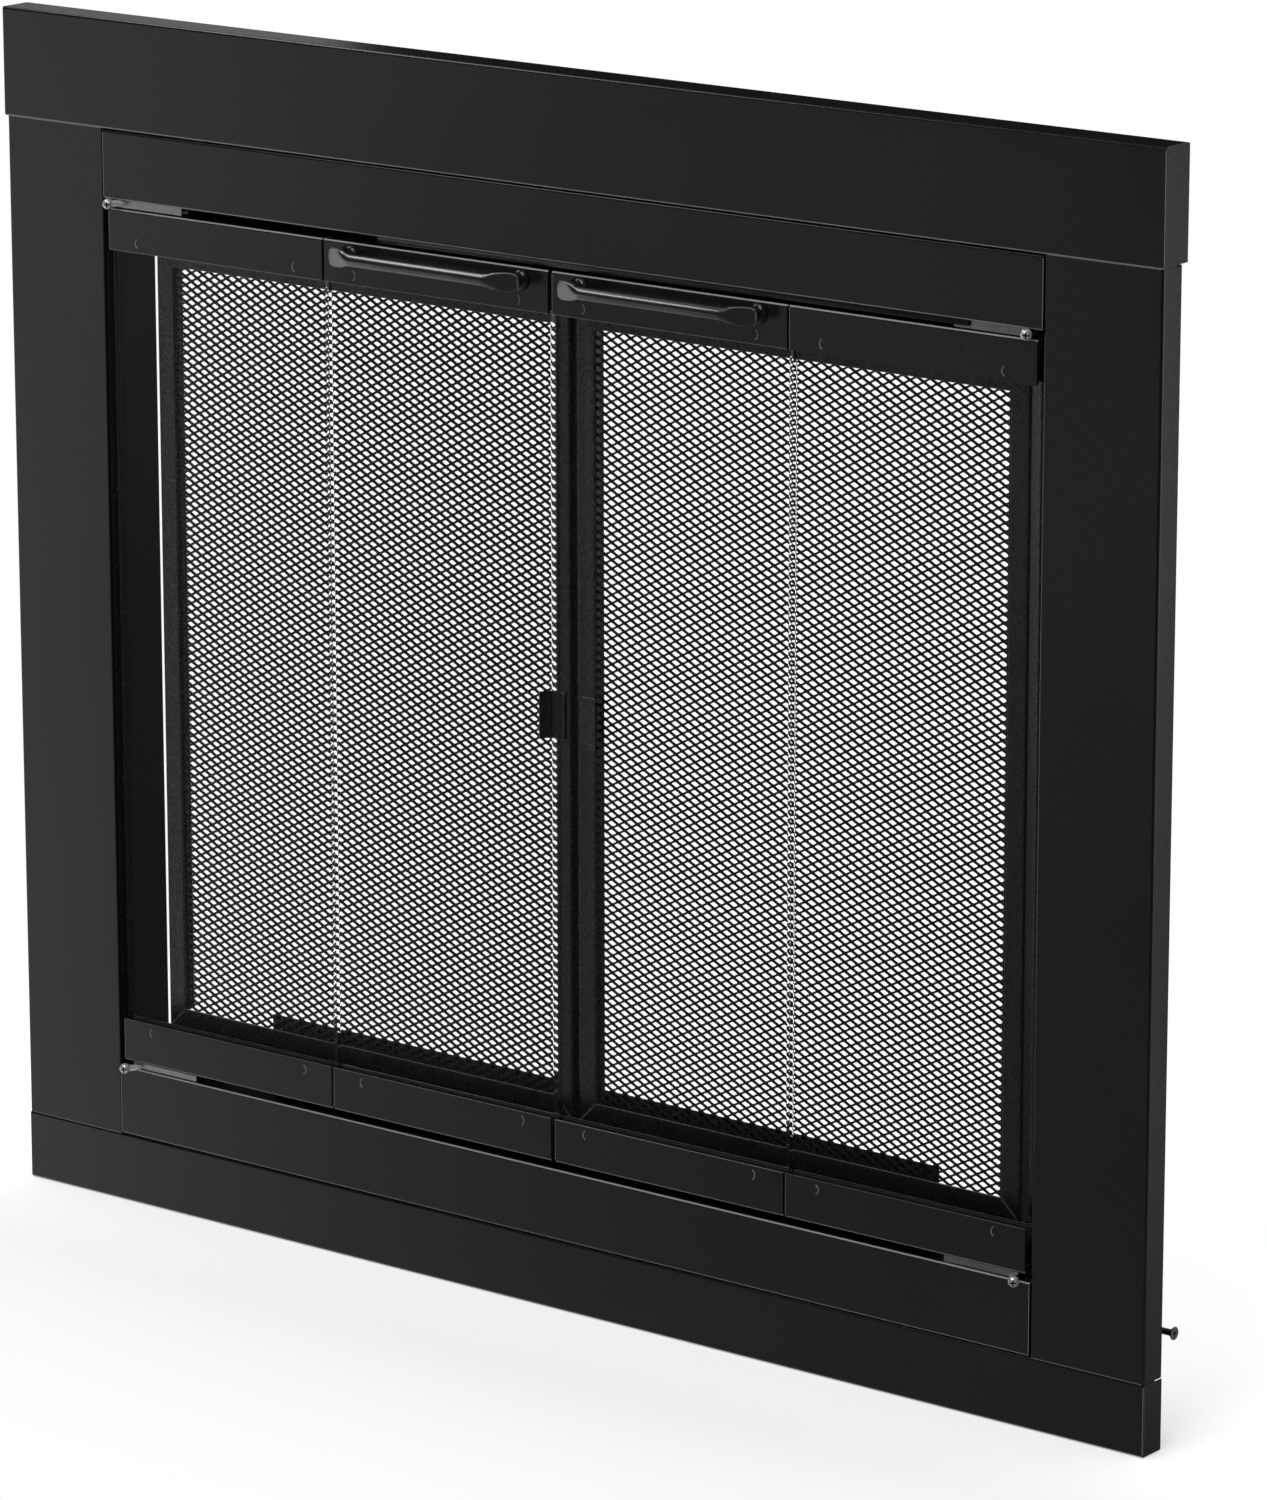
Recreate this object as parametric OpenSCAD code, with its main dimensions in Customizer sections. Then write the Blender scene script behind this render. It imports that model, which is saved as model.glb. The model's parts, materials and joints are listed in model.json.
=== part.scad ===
// Fireplace glass door: black sheet-steel surround, four bifold glass leaves,
// two mesh gate doors behind them and an air shutter on the sill.
// X runs along the opening, +Y into the firebox, +Z up. The origin is on the
// underside of the bottom rail, on the centre line, set_back behind the front.

/* [Surround] */
// Overall width, over the top rail
overall_w = 952.5; // [860:0.5:1100]
// Overall height
overall_h = 838.2; // [700:0.1:960]
// Height of the top rail's face
top_rail_h = 75.2; // [60:0.1:100]
// Height of the bottom rail's face
bottom_rail_h = 48.6; // [40:0.1:70]
// Width of each stile's face
stile_w = 87.5; // [70:0.5:110]
// How far the top rail stands proud of the stiles
cap_proud = 1.25; // [0.8:0.05:2]
// Depth of the top rail
top_rail_depth = 26; // [24:0.5:34]
// Depth of the stiles, from their own face
stile_depth = 21.3; // [18:0.1:24]
// Depth of the bottom rail, from its own face
bottom_rail_depth = 21; // [18:0.1:24]
// Thickness of the sheet
sheet_t = 1.2; // [0.8:0.1:1.5]
// Outside radius of each bend in the sheet
bend_r = 1.8; // [1.6:0.1:2.4]
// Open seam between the surround and the inner channels
seam_gap = 0.8; // [0.4:0.1:1.2]
// Distance from the front plane back to the origin
set_back = 12; // [8:0.5:16]

/* [Inner box] */
// Height of the header channel's face
header_h = 47.2; // [40:0.1:60]
// Height of the sill channel's face
sill_h = 49.35; // [40:0.05:60]
// Depth of the header and sill channels
box_depth = 46; // [44:0.5:52]
// Depth of the jambs
jamb_depth = 55.5; // [53:0.5:64]

/* [Glass leaves] */
// Thickness of a leaf over its clips
leaf_t = 12; // [12:0.1:13]
// Front of the leaves behind the front plane
leaf_y = 1; // [0.8:0.1:1.6]
// Gap between the two inner leaves
centre_gap = 3.2; // [2.4:0.1:5]
// Gap between two hinged leaves
fold_gap = 1.2; // [1:0.1:2]
// Gap between a leaf and the stile
side_gap = 4.1; // [3.8:0.1:6]
// Height of the slot over the leaves
top_slot = 6.25; // [6.1:0.05:8]
// Height of the slot under the leaves
bottom_slot = 5; // [4.9:0.1:7]
// Height of the clip on the top edge
top_clip_h = 28.75; // [26:0.05:36]
// Height of the clip on the bottom edge
bottom_clip_h = 30; // [27:0.5:36]
// Thickness of the clip's sheet
clip_t = 1.5; // [1.2:0.1:1.6]
// Thickness of the glass
glass_t = 5; // [4:0.5:6]
// Radius of a pivot pin
pivot_r = 2.5; // [2:0.1:2.7]
// Distance of the pivot from the leaf's outer end
pivot_in = 12.4; // [11:0.1:14]
// Outside radius of a clip's bends
clip_bend = 1.8; // [1.7:0.1:2.2]
// Radius of a clamp screw in the back of a clip
clamp_r = 3.2; // [2.6:0.1:3.6]
// Distance of a clamp screw from the end of its clip
clamp_in = 40; // [38:0.5:60]
// Distance of a pressed crescent from the end of its clip
crescent_in = 25.2; // [20:0.1:40]

/* [Leaf hinges] */
// Radius of a hinge knuckle
knuckle_r = 3; // [2.6:0.1:3.2]
// Radius of a hinge pin
hinge_pin_r = 1.5; // [1.2:0.1:1.7]
// Height of a leaf hinge
hinge_h = 24; // [18:0.5:25]
// Length of a hinge plate
hinge_plate_w = 26; // [20:1:40]

/* [Handles] */
// Half the straight length of the bar
bar_half = 61; // [50:1:70]
// Radius of the bar
bar_r = 4.5; // [3.5:0.1:5]
// How far the bar's centre line stands off the clip
bar_off = 18; // [15:0.5:26]
// Height of the bar's centre line over the clip's lower edge
bar_rise = 20.6; // [16:0.1:21]
// Distance of each foot from the handle's middle
foot_x = 72; // [70:0.5:80]
// Height of the flared end
paddle_h = 12.8; // [11:0.1:14]
// Length of the flared end
paddle_w = 18; // [16:0.5:20]
// How far the flared end slopes back
paddle_slope = 20; // [10:1:30]

/* [Mesh doors] */
// Front of the mesh doors behind the front plane
mesh_y = 26; // [25.5:0.5:30]
// Depth of a mesh door's frame
mesh_depth = 12; // [11:0.5:13]
// Width of the frame's face
mesh_face = 14.8; // [14:0.1:22]
// Gap between a mesh door and the jamb
mesh_side = 25.1; // [24:0.1:40]
// Half the gap between the two mesh doors
mesh_mid = 2.5; // [1.5:0.1:4]
// Gap from the header down to the mesh doors
mesh_drop = 31.8; // [30:0.1:40]
// Gap from the sill up to the mesh doors
mesh_rise = 27.95; // [26:0.05:36]
// Long way of one diamond
diamond_w = 36; // [30:1:48]
// Short way of one diamond
diamond_h = 33; // [28:1:44]
// Width of a strand
strand = 3; // [2:0.1:4]
// Thickness of the screen
screen_t = 1.2; // [0.8:0.1:1.6]
// Radius of a mesh door's hinge pin
mesh_pin_r = 2.5; // [2:0.1:3]
// Height of the pulls over the hearth
pull_z = 405; // [360:1:460]
// Length of a pull
pull_l = 32; // [26:1:40]

/* [Air shutter] */
// Half the length of the shutter's back plate
vent_half = 284; // [260:1:300]
// Height of the plate over the sill
vent_h = 45.75; // [40:0.25:48]
// Distance between two air slots
slot_pitch = 40; // [36:1:50]
// Length of an air slot
slot_l = 18; // [12:1:20]
// Height of an air slot
slot_h = 12; // [8:1:14]
// Travel of the shutter
shutter_travel = 20; // [18:1:22]

/* [Fixing to the masonry] */
// Height of the side anchors over the hearth
anchor_z = 68; // [60:1:90]
// Depth of the side anchors behind the front plane
anchor_y = 50; // [48:0.5:51]
// Reach of an anchor screw beyond the jamb
anchor_reach = 77; // [50:1:84]
// Radius of an anchor screw
anchor_r = 2.2; // [1.8:0.1:2.6]
// Distance of each lintel clamp from the middle
clamp_x = 300; // [200:5:340]
// Reach of a lintel clamp behind the header
clamp_reach = 44; // [30:1:60]
// Height of a lintel clamp over its foot
clamp_rise = 80; // [70:1:84]

/* [Clearances] */
// Radial running clearance of a pin in its bore
run_clear = 0.05; // [0.02:0.01:0.09]
// Free gap beside a piece that slides or turns
free_gap = 0.3; // [0.2:0.05:0.5]
// Gap between a leaf and the face of its magnet
magnet_gap = 0.3; // [0.2:0.1:0.6]

/* [Hidden] */
// heights
header_top = overall_h - top_rail_h - seam_gap;
header_z = header_top - header_h;
sill_bottom = bottom_rail_h + seam_gap;
sill_z = sill_bottom + sill_h;
// half widths
stile_out = overall_w / 2 - cap_proud;
open_x = stile_out - stile_w;
jamb_x = open_x + sheet_t + 0.1;
// turned edges of the folded sheets, and where their screws sit
rail_lip = 14;
rail_turn = 9;
stile_lip = 16;
stile_turn = 12;
box_lip = 20;
sill_turn = 20;
catch_lap = 11;
tab_hole_r = 3.6;
jamb_front = 4;
jamb_turn = 10;
rail_screw_y = 9;
spacer_half = 8;
spacer_y = [4, 14];
jamb_screw_y = 11;
jamb_screw_in = 16;
sheet_hole_r = 1.7;
// leaves
leaf_top = header_z - top_slot;
leaf_bottom = sill_z + bottom_slot;
leaf_w = (open_x - side_gap - centre_gap / 2 - fold_gap) / 2;
inner_x = centre_gap / 2;
outer_x = inner_x + leaf_w + fold_gap;
leaf_mid = leaf_y + leaf_t / 2;
leaf_back = leaf_y + leaf_t;
pivot_x = outer_x + leaf_w - pivot_in;
fold_x = inner_x + leaf_w + fold_gap / 2;
fold_y = leaf_back + knuckle_r + 0.2;
glass_edge = 5.25;
pad_t = (leaf_t - 2 * clip_t - glass_t) / 2;
pad_web = 2;
// mesh doors
mesh_out = open_x - mesh_side;
mesh_top = header_z - mesh_drop;
mesh_bottom = sill_z + mesh_rise;
mesh_pin_x = mesh_out - mesh_depth / 2;
mesh_pin_y = mesh_y + mesh_depth / 2;
bracket_t = 2;
bracket_gap = 3;
bracket_half = 6;
bracket_leg = 20;
// side anchors
anchor_front = 26;
anchor_foot = 22;
anchor_half = 15;
anchor_hole = [34, 9];
// catches
catch_half = 22;
catch_in = 34;
// air shutter
box_y = 0.5;
vent_y = box_depth;
shutter_w = vent_half - shutter_travel - 6;
// handles
bar_z = leaf_top - top_clip_h + bar_rise;
handle_x = inner_x + leaf_w / 2 - 0.25;
foot_r = 7.2;

// ---------- helpers ----------

// everything is drawn from the front plane and moved to the origin here
module seat() translate([0, -set_back, 0]) children();
module left() seat() mirror([1, 0, 0]) children();
module right() seat() children();
module both() { seat() children(); seat() mirror([1, 0, 0]) children(); }
// a box from its two corners
module block(a, b) translate(a) cube(b - a);
module rod_x(r, x0, x1, y, z, fn = 48)
    translate([x0, y, z]) rotate([0, 90, 0]) cylinder(r = r, h = x1 - x0, $fn = fn);
module rod_y(r, y0, y1, x, z, fn = 48)
    translate([x, y0, z]) rotate([-90, 0, 0]) cylinder(r = r, h = y1 - y0, $fn = fn);
module rod_z(r, z0, z1, x, y, fn = 48)
    translate([x, y, z0]) cylinder(r = r, h = z1 - z0, $fn = fn);

function unit(v) = v / norm(v);

// a folded sheet profile: straight runs along the given middle line, with round bends
module fold2d(p, t, r) {
    n = len(p);
    m = r - t / 2;
    for (i = [0:n - 2]) {
        d = unit(p[i + 1] - p[i]);
        a = p[i] + (i > 0 ? d * m : [0, 0]);
        b = p[i + 1] - (i < n - 2 ? d * m : [0, 0]);
        w = [abs(d[1]), abs(d[0])] * t / 2;
        lo = [min(a[0], b[0]), min(a[1], b[1])] - w;
        hi = [max(a[0], b[0]), max(a[1], b[1])] + w;
        translate(lo) square(hi - lo);
    }
    for (i = [1:n - 2]) {
        d1 = unit(p[i] - p[i - 1]);
        d2 = unit(p[i + 1] - p[i]);
        c = p[i] - d1 * m + d2 * m;
        q = d1 * r - d2 * r;
        lo = [min(c[0], c[0] + q[0]), min(c[1], c[1] + q[1])];
        intersection() {
            translate(c) difference() {
                circle(r = r, $fn = 48);
                circle(r = r - t, $fn = 48);
            }
            translate(lo) square(r);
        }
    }
}
// the profile in Y and Z, extruded along X
module along_x(x0, x1) translate([x0, 0, 0]) rotate([90, 0, 90]) linear_extrude(x1 - x0) children();
// the profile in X and Y, extruded along Z
module along_z(z0, z1) translate([0, 0, z0]) linear_extrude(z1 - z0) children();

// pan head screw along +Y from its head's underside, head towards -Y
module pan_screw(r, l) {
    rotate([-90, 0, 0]) cylinder(r = r, h = l, $fn = 32);
    rotate([90, 0, 0]) cylinder(r1 = 2 * r, r2 = 1.3 * r, h = 0.9 * r, $fn = 32);
}

// ---------- surround ----------

module top_rail_shape() {
    h = sheet_t / 2;
    z0 = overall_h - top_rail_h;
    difference() {
        union() {
            along_x(-overall_w / 2, overall_w / 2)
                fold2d([[rail_lip, z0 + h], [h, z0 + h], [h, overall_h - h],
                    [top_rail_depth - h, overall_h - h], [top_rail_depth - h, overall_h - rail_turn]],
                    sheet_t, bend_r);
            // end caps
            for (s = [-1, 1]) {
                x = s < 0 ? -overall_w / 2 : overall_w / 2 - sheet_t;
                block([x, bend_r, z0 + sheet_t], [x + sheet_t, top_rail_depth, overall_h - sheet_t]);
            }
        }
        for (x = rail_screw_x) rod_z(sheet_hole_r, z0 - 1, z0 + 3, x, rail_screw_y);
    }
}

module bottom_rail_shape() {
    h = sheet_t / 2;
    y0 = cap_proud + h;
    y1 = cap_proud + bottom_rail_depth;
    difference() {
        union() {
            along_x(-stile_out, stile_out)
                fold2d([[y1, h], [y0, h], [y0, bottom_rail_h - h], [rail_lip, bottom_rail_h - h]],
                    sheet_t, bend_r);
            for (s = [-1, 1]) {
                x = s < 0 ? -stile_out : stile_out - sheet_t;
                block([x, cap_proud + bend_r, sheet_t], [x + sheet_t, y1, bottom_rail_h - sheet_t]);
            }
        }
        for (x = rail_screw_x)
            rod_z(sheet_hole_r, bottom_rail_h - 3, bottom_rail_h + 1, x, rail_screw_y);
    }
}

// the right-hand stile
module stile_shape() {
    h = sheet_t / 2;
    y0 = cap_proud + h;
    y1 = cap_proud + stile_depth;
    difference() {
        along_z(bottom_rail_h, overall_h - top_rail_h)
            fold2d([[open_x + h, stile_lip], [open_x + h, y0], [stile_out - h, y0],
                [stile_out - h, y1 - h], [stile_out - stile_turn, y1 - h]], sheet_t, bend_r);
        for (z = jamb_screw_z) rod_x(sheet_hole_r, open_x - 1, open_x + 3, jamb_screw_y, z);
    }
}
jamb_screw_z = [sill_bottom + jamb_screw_in, sill_z + (header_z - sill_z) / 3,
    sill_z + (header_z - sill_z) * 2 / 3, header_top - jamb_screw_in];
rail_screw_x = [for (i = [-2:2]) i * open_x * 0.4];

// ---------- inner box ----------

module header_shape() {
    h = sheet_t / 2;
    x1 = open_x - free_gap;
    difference() {
        union() {
            along_x(-x1, x1)
                fold2d([[box_lip, header_top - h], [box_y + h, header_top - h], [box_y + h, header_z + h],
                    [box_depth - h, header_z + h], [box_depth - h, header_z - header_lip]],
                    sheet_t, bend_r);
            // turned ends
            for (s = [-1, 1]) block([s * x1 - (s > 0 ? sheet_t : 0), box_y + bend_r, header_z],
                [s * x1 + (s > 0 ? 0 : sheet_t), box_depth - bend_r, header_top]);
            // spacers that carry the channel under the top rail
            for (x = rail_screw_x)
                block([x - spacer_half, spacer_y[0], header_top],
                    [x + spacer_half, spacer_y[1], overall_h - top_rail_h]);
        }
        for (x = rail_screw_x) rod_z(sheet_hole_r, header_top - 3, header_top + 3, x, rail_screw_y);
        for (x = lintel_screw_x) rod_y(2.1, box_depth - 3, box_depth + 1, x, lintel_screw_z);
        // free of the heads of the jamb screws
        for (s = [-1, 1]) rod_x(tab_hole_r, s * x1 - 2, s * x1 + 2, jamb_screw_y, jamb_screw_z[3]);
    }
}
// the back edge hangs down behind the gate doors as their stop
header_lip = mesh_drop + catch_lap;
lintel_screw_z = header_z - 12;
lintel_screw_x = [-clamp_x - 8, -clamp_x + 8, clamp_x - 8, clamp_x + 8];

module sill_shape() {
    h = sheet_t / 2;
    x1 = open_x - free_gap;
    difference() {
        union() {
            along_x(-x1, x1)
                fold2d([[box_lip, sill_bottom + h], [box_y + h, sill_bottom + h], [box_y + h, sill_z - h],
                    [box_depth - h, sill_z - h], [box_depth - h, sill_z - sill_turn]],
                    sheet_t, bend_r);
            for (s = [-1, 1]) block([s * x1 - (s > 0 ? sheet_t : 0), box_y + bend_r, sill_bottom],
                [s * x1 + (s > 0 ? 0 : sheet_t), box_depth - bend_r, sill_z]);
            for (x = rail_screw_x)
                block([x - spacer_half, spacer_y[0], bottom_rail_h],
                    [x + spacer_half, spacer_y[1], sill_bottom]);
        }
        for (x = rail_screw_x) rod_z(sheet_hole_r, sill_bottom - 3, sill_bottom + 3, x, rail_screw_y);
        for (x = vent_screw_x) rod_y(1.6, box_depth - 3, box_depth + 1, x, sill_z - 11);
        for (s = [-1, 1]) rod_x(tab_hole_r, s * x1 - 2, s * x1 + 2, jamb_screw_y, jamb_screw_z[0]);
    }
}
vent_screw_x = [-vent_half * 0.8, 0, vent_half * 0.8];

// the right-hand jamb: a plate going back into the opening, with a turned back edge
module jamb_shape() {
    h = sheet_t / 2;
    difference() {
        along_z(sill_bottom, header_top)
            fold2d([[jamb_x + h, jamb_front], [jamb_x + h, jamb_depth - h],
                [jamb_x + jamb_turn, jamb_depth - h]],
                sheet_t, bend_r);
        for (z = jamb_screw_z) rod_x(sheet_hole_r, jamb_x - 1, jamb_x + 3, jamb_screw_y, z);
        for (z = bracket_screw_z) rod_x(1.6, jamb_x - 1, jamb_x + 3, mesh_pin_y, z);
        for (s = [-1, 1])
            rod_x(1.6, jamb_x - 1, jamb_x + 3, anchor_hole[0], anchor_z + s * anchor_hole[1]);
    }
}

// ---------- pivots of the glass leaves ----------

// pivot strip on the right: a channel with its open side towards the leaf
module pivot_strip(z_web, z_open) {
    up = z_open > z_web ? 1 : -1;
    x0 = pivot_x - strip_l;
    x1 = pivot_x + strip_end;
    y0 = leaf_mid - 4;
    y1 = leaf_mid + 4;
    lo = min(z_web, z_open);
    hi = max(z_web, z_open);
    difference() {
        block([x0, y0, lo], [x1, y1, hi]);
        if (up > 0)
            block([x0 - 1, y0 + 1.2, z_web + strip_web], [x1 + 1, y1 - 1.2, hi + 1]);
        else
            block([x0 - 1, y0 + 1.2, lo - 1], [x1 + 1, y1 - 1.2, z_web - strip_web]);
        rod_z(pivot_r + run_clear, lo - 1, hi + 1, pivot_x, leaf_mid);
    }
}
strip_l = 52.25;
strip_end = 6;
strip_web = 2;
strip_gap = 0.75;

// round-headed clamp screw that stands out of a strip at a slant
module strip_screw(z, cut_z) {
    b = [pivot_x + 7.7, leaf_mid - 11.8, z];
    a = atan2(6.4, 7.8);
    difference() {
        translate(b) {
            intersection() {
                sphere(r = 3.7, $fn = 48);
                rotate([0, 0, a]) rotate([90, 0, 0])
                    translate([0, 0, -9]) cylinder(r = 3.9, h = 12, $fn = 48);
            }
            rotate([0, 0, a]) rotate([-90, 0, 0]) translate([0, 0, 2])
                cylinder(r1 = 2.5, r2 = 1.7, h = 14, $fn = 40);
        }
        // seated on the strip's face, flat where the neck lies on the channel
        block([b[0] - 30, leaf_mid - 4, z - 9], [b[0] + 30, leaf_mid + 20, z + 9]);
        block([b[0] - 30, 0.3, cut_z < z ? z - 9 : cut_z], [b[0] + 30, leaf_mid, cut_z < z ? cut_z : z + 9]);
        // cross recess
        translate(b) rotate([0, 0, a]) for (q = [0, 90])
            rotate([0, q, 0]) block([-2, -5, -0.45], [2, -2.2, 0.45]);
    }
}

// ---------- one leaf ----------

// a leaf's clip over one edge of the glass, folded from sheet; x0 is its inner end,
// z the free face, arcs the sides on which its two crescents bulge
module clip_shape(x0, z_face, h, up, arcs) {
    x1 = x0 + leaf_w;
    q = clip_t / 2;
    s = up ? -1 : 1;
    difference() {
        along_x(x0, x1) fold2d([[leaf_y + q, z_face + s * h], [leaf_y + q, z_face + s * q],
            [leaf_back - q, z_face + s * q], [leaf_back - q, z_face + s * h]], clip_t, clip_bend);
        for (x = [x0 + clamp_in, x1 - clamp_in])
            rod_y(clamp_r + 0.1, leaf_back - clip_t - 1, leaf_back + 1, x, z_face + s * (h - clamp_in_z));
    }
    for (i = [0, 1])
        translate([(i ? x1 - crescent_in : x0 + crescent_in) - arcs[i] * 1.9, leaf_y, z_face + s * (h - clamp_in_z)])
            rotate([90, 0, 0]) rotate([0, 0, arcs[i] > 0 ? -65 : 115]) rotate_extrude(angle = 130, $fn = 60)
                polygon([[crescent_r - 1, -0.1], [crescent_r - 0.65, crescent_h], [crescent_r - 0.35, crescent_h],
                    [crescent_r, -0.1]]);
}
crescent_r = 3.95;
crescent_h = 0.45;
clamp_in_z = 6.4;

module clamp_screws(x0) {
    for (x = [x0 + clamp_in, x0 + leaf_w - clamp_in])
        for (z = [leaf_top - top_clip_h + clamp_in_z, leaf_bottom + bottom_clip_h - clamp_in_z])
            difference() {
                rod_y(clamp_r, leaf_back - clip_t - clamp_bite, leaf_back - 0.15, x, z);
                translate([x, leaf_back - 1, z]) rotate([-90, 0, 0]) cylinder(r = 1.75, h = 2, $fn = 6);
            }
}
clamp_bite = 0.8;

module glass_shape(x0) {
    c = 0.4;
    y = leaf_mid - glass_t / 2;
    z0 = leaf_bottom + glass_edge;
    z1 = leaf_top - glass_edge;
    along_z(z0, z1) polygon([[x0 + 0.4 + c, y], [x0 + leaf_w - 0.4 - c, y], [x0 + leaf_w - 0.4, y + c],
        [x0 + leaf_w - 0.4, y + glass_t - c], [x0 + leaf_w - 0.4 - c, y + glass_t],
        [x0 + 0.4 + c, y + glass_t], [x0 + 0.4, y + glass_t - c], [x0 + 0.4, y + c]]);
}

// soft strips between the clips and the glass
module pads_shape(x0) {
    xa = x0 + 1;
    xb = x0 + leaf_w - 1;
    y0 = leaf_y + clip_t;
    y1 = leaf_back - clip_t;
    z1 = leaf_top - glass_edge;
    z0 = leaf_bottom + glass_edge;
    difference() {
        union() {
            block([xa, y0, leaf_top - top_clip_h + 1], [xb, y1, z1 + pad_web]);
            block([xa, y0, z0 - pad_web], [xb, y1, leaf_bottom + bottom_clip_h - 1]);
        }
        block([xa - 1, y0 + pad_t, z0], [xb + 1, y1 - pad_t, z1]);
        for (x = [x0 + clamp_in, x0 + leaf_w - clamp_in])
            for (z = [leaf_top - top_clip_h + clamp_in_z, leaf_bottom + bottom_clip_h - clamp_in_z])
                rod_y(clamp_r + 0.1, y1 - clamp_bite, y1 + 1, x, z);
    }
}

// hinge halves; s = 1 is the outer leaf's half with two knuckles
function hinge_zs() = [leaf_top - top_clip_h / 2 - hinge_h / 2,
    leaf_bottom + bottom_clip_h / 2 - hinge_h / 2];
module hinge_shape(s) {
    k = hinge_h / 3;
    for (z = hinge_zs()) difference() {
        union() {
            xa = fold_x + s * (knuckle_r + 0.5);
            xb = fold_x + s * (knuckle_r + 0.5 + hinge_plate_w);
            block([min(xa, xb), leaf_back, z], [max(xa, xb), leaf_back + 1.2, z + hinge_h]);
            for (q = s > 0 ? [0, 2] : [1]) {
                g = s > 0 ? 0 : free_gap / 2;
                za = z + q * k + (s > 0 && q == 2 ? free_gap / 2 : g);
                zb = z + (q + 1) * k - (s > 0 && q == 0 ? free_gap / 2 : g);
                rod_z(knuckle_r, za, zb, fold_x, fold_y);
                xc = fold_x + s * (knuckle_r + 0.6);
                block([min(fold_x + s * 1.2, xc), leaf_back + 0.2, za],
                    [max(fold_x + s * 1.2, xc), leaf_back + 1.2, zb]);
            }
        }
        rod_z(hinge_pin_r + run_clear, z - 1, z + hinge_h + 1, fold_x, fold_y);
        for (t = [0.3, 0.78])
            rod_y(1.65, leaf_back - 1, leaf_back + 3, fold_x + s * (knuckle_r + 0.5 + hinge_plate_w * t),
                z + hinge_h / 2);
    }
}
// rivets of one hinge half
module hinge_rivets(s) {
    for (z = hinge_zs()) for (t = [0.3, 0.78])
        translate([fold_x + s * (knuckle_r + 0.5 + hinge_plate_w * t), leaf_back, z + hinge_h / 2]) {
            rotate([-90, 0, 0]) cylinder(r = 1.6, h = 1.2, $fn = 32);
            translate([0, 1.2, 0]) rotate([-90, 0, 0]) cylinder(r1 = 2.8, r2 = 1.8, h = 0.7, $fn = 32);
        }
}
// pivot pins with their heads inside the clips, and the hinge pins
module outer_pins() {
    rod_z(pivot_r, leaf_top - clip_t, header_z - 0.4, pivot_x, leaf_mid);
    rod_z(pivot_r + 1.3, leaf_top - clip_t - 1.2, leaf_top - clip_t, pivot_x, leaf_mid);
    rod_z(pivot_r, sill_z + 0.2, leaf_bottom + clip_t, pivot_x, leaf_mid);
    rod_z(pivot_r + 1.3, leaf_bottom + clip_t, leaf_bottom + clip_t + 1.2, pivot_x, leaf_mid);
    for (z = hinge_zs()) {
        rod_z(hinge_pin_r, z, z + hinge_h, fold_x, fold_y);
        rod_z(hinge_pin_r + 0.7, z + hinge_h, z + hinge_h + 0.8, fold_x, fold_y);
    }
}

// ---------- handle ----------

// bent pull: round bar, ends flattened into dished paddles that slope back, legs and feet
module handle_shape() {
    y = leaf_y - bar_off;
    translate([handle_x, 0, bar_z]) difference() {
        union() {
            rod_x(bar_r, -bar_half, bar_half, y, 0, 40);
            for (s = [-1, 1]) {
                hull() {
                    translate([s * (bar_half - 4), y, 0]) rotate([0, 90, 0])
                        cylinder(r = bar_r, h = 0.5, center = true, $fn = 28);
                    translate([s * (foot_x - 0.5), y + 2.2, 0]) rotate([90, 0, s * paddle_slope])
                        scale([paddle_w / paddle_h, 1, 1])
                            cylinder(r = paddle_h / 2, h = 3.4, center = true, $fn = 32);
                }
                hull() {
                    translate([s * foot_x, y + 3.4, 0]) rotate([90, 0, 0])
                        cylinder(r = paddle_h / 2 - 1.6, h = 0.5, center = true, $fn = 28);
                    translate([s * foot_x, leaf_y - 1.6, -1.2]) rotate([90, 0, 0])
                        cylinder(r = 4.2, h = 0.5, center = true, $fn = 28);
                }
                rod_y(foot_r, leaf_y - 1.8, leaf_y, s * foot_x, -1.2, 40);
            }
        }
        for (s = [-1, 1]) {
            // dish of the paddle
            translate([s * (foot_x - 0.5), y + 2.2, 0]) rotate([0, 0, s * paddle_slope])
                translate([0, -1.7 - 29.4, 0]) sphere(r = 30, $fn = 64);
            rod_y(1.6, y + 9, leaf_y + 1, s * foot_x, -1.2);
        }
    }
}
module handle_screws() for (s = [-1, 1])
    translate([handle_x + s * foot_x, 0, bar_z - 1.2]) {
        rod_y(1.55, leaf_y - bar_off + 10, leaf_y + clip_t, 0, 0);
        rod_y(2.6, leaf_y + clip_t, leaf_y + clip_t + 1.1, 0, 0);
    }
module handle_holes() for (s = [-1, 1])
    rod_y(1.6, leaf_y - 1, leaf_y + clip_t + 0.1, handle_x + s * foot_x, bar_z - 1.2);
module handle_pockets() for (s = [-1, 1])
    rod_y(2.8, leaf_y + clip_t - 1, leaf_y + clip_t + 1.3, handle_x + s * foot_x, bar_z - 1.2);

// ---------- mesh doors ----------

// the folded frame's outer form d inside its faces: two bent profiles that cross
module mesh_shell(d, y1) {
    intersection() {
        along_x(mesh_mid + d, mesh_out - d)
            bent_box(mesh_y + d, y1, mesh_bottom + d, mesh_top - d, bend_r - d);
        along_z(mesh_bottom + d, mesh_top - d) mirror([1, -1])
            bent_box(mesh_y + d, y1, mesh_mid + d, mesh_out - d, bend_r - d);
    }
}
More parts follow.
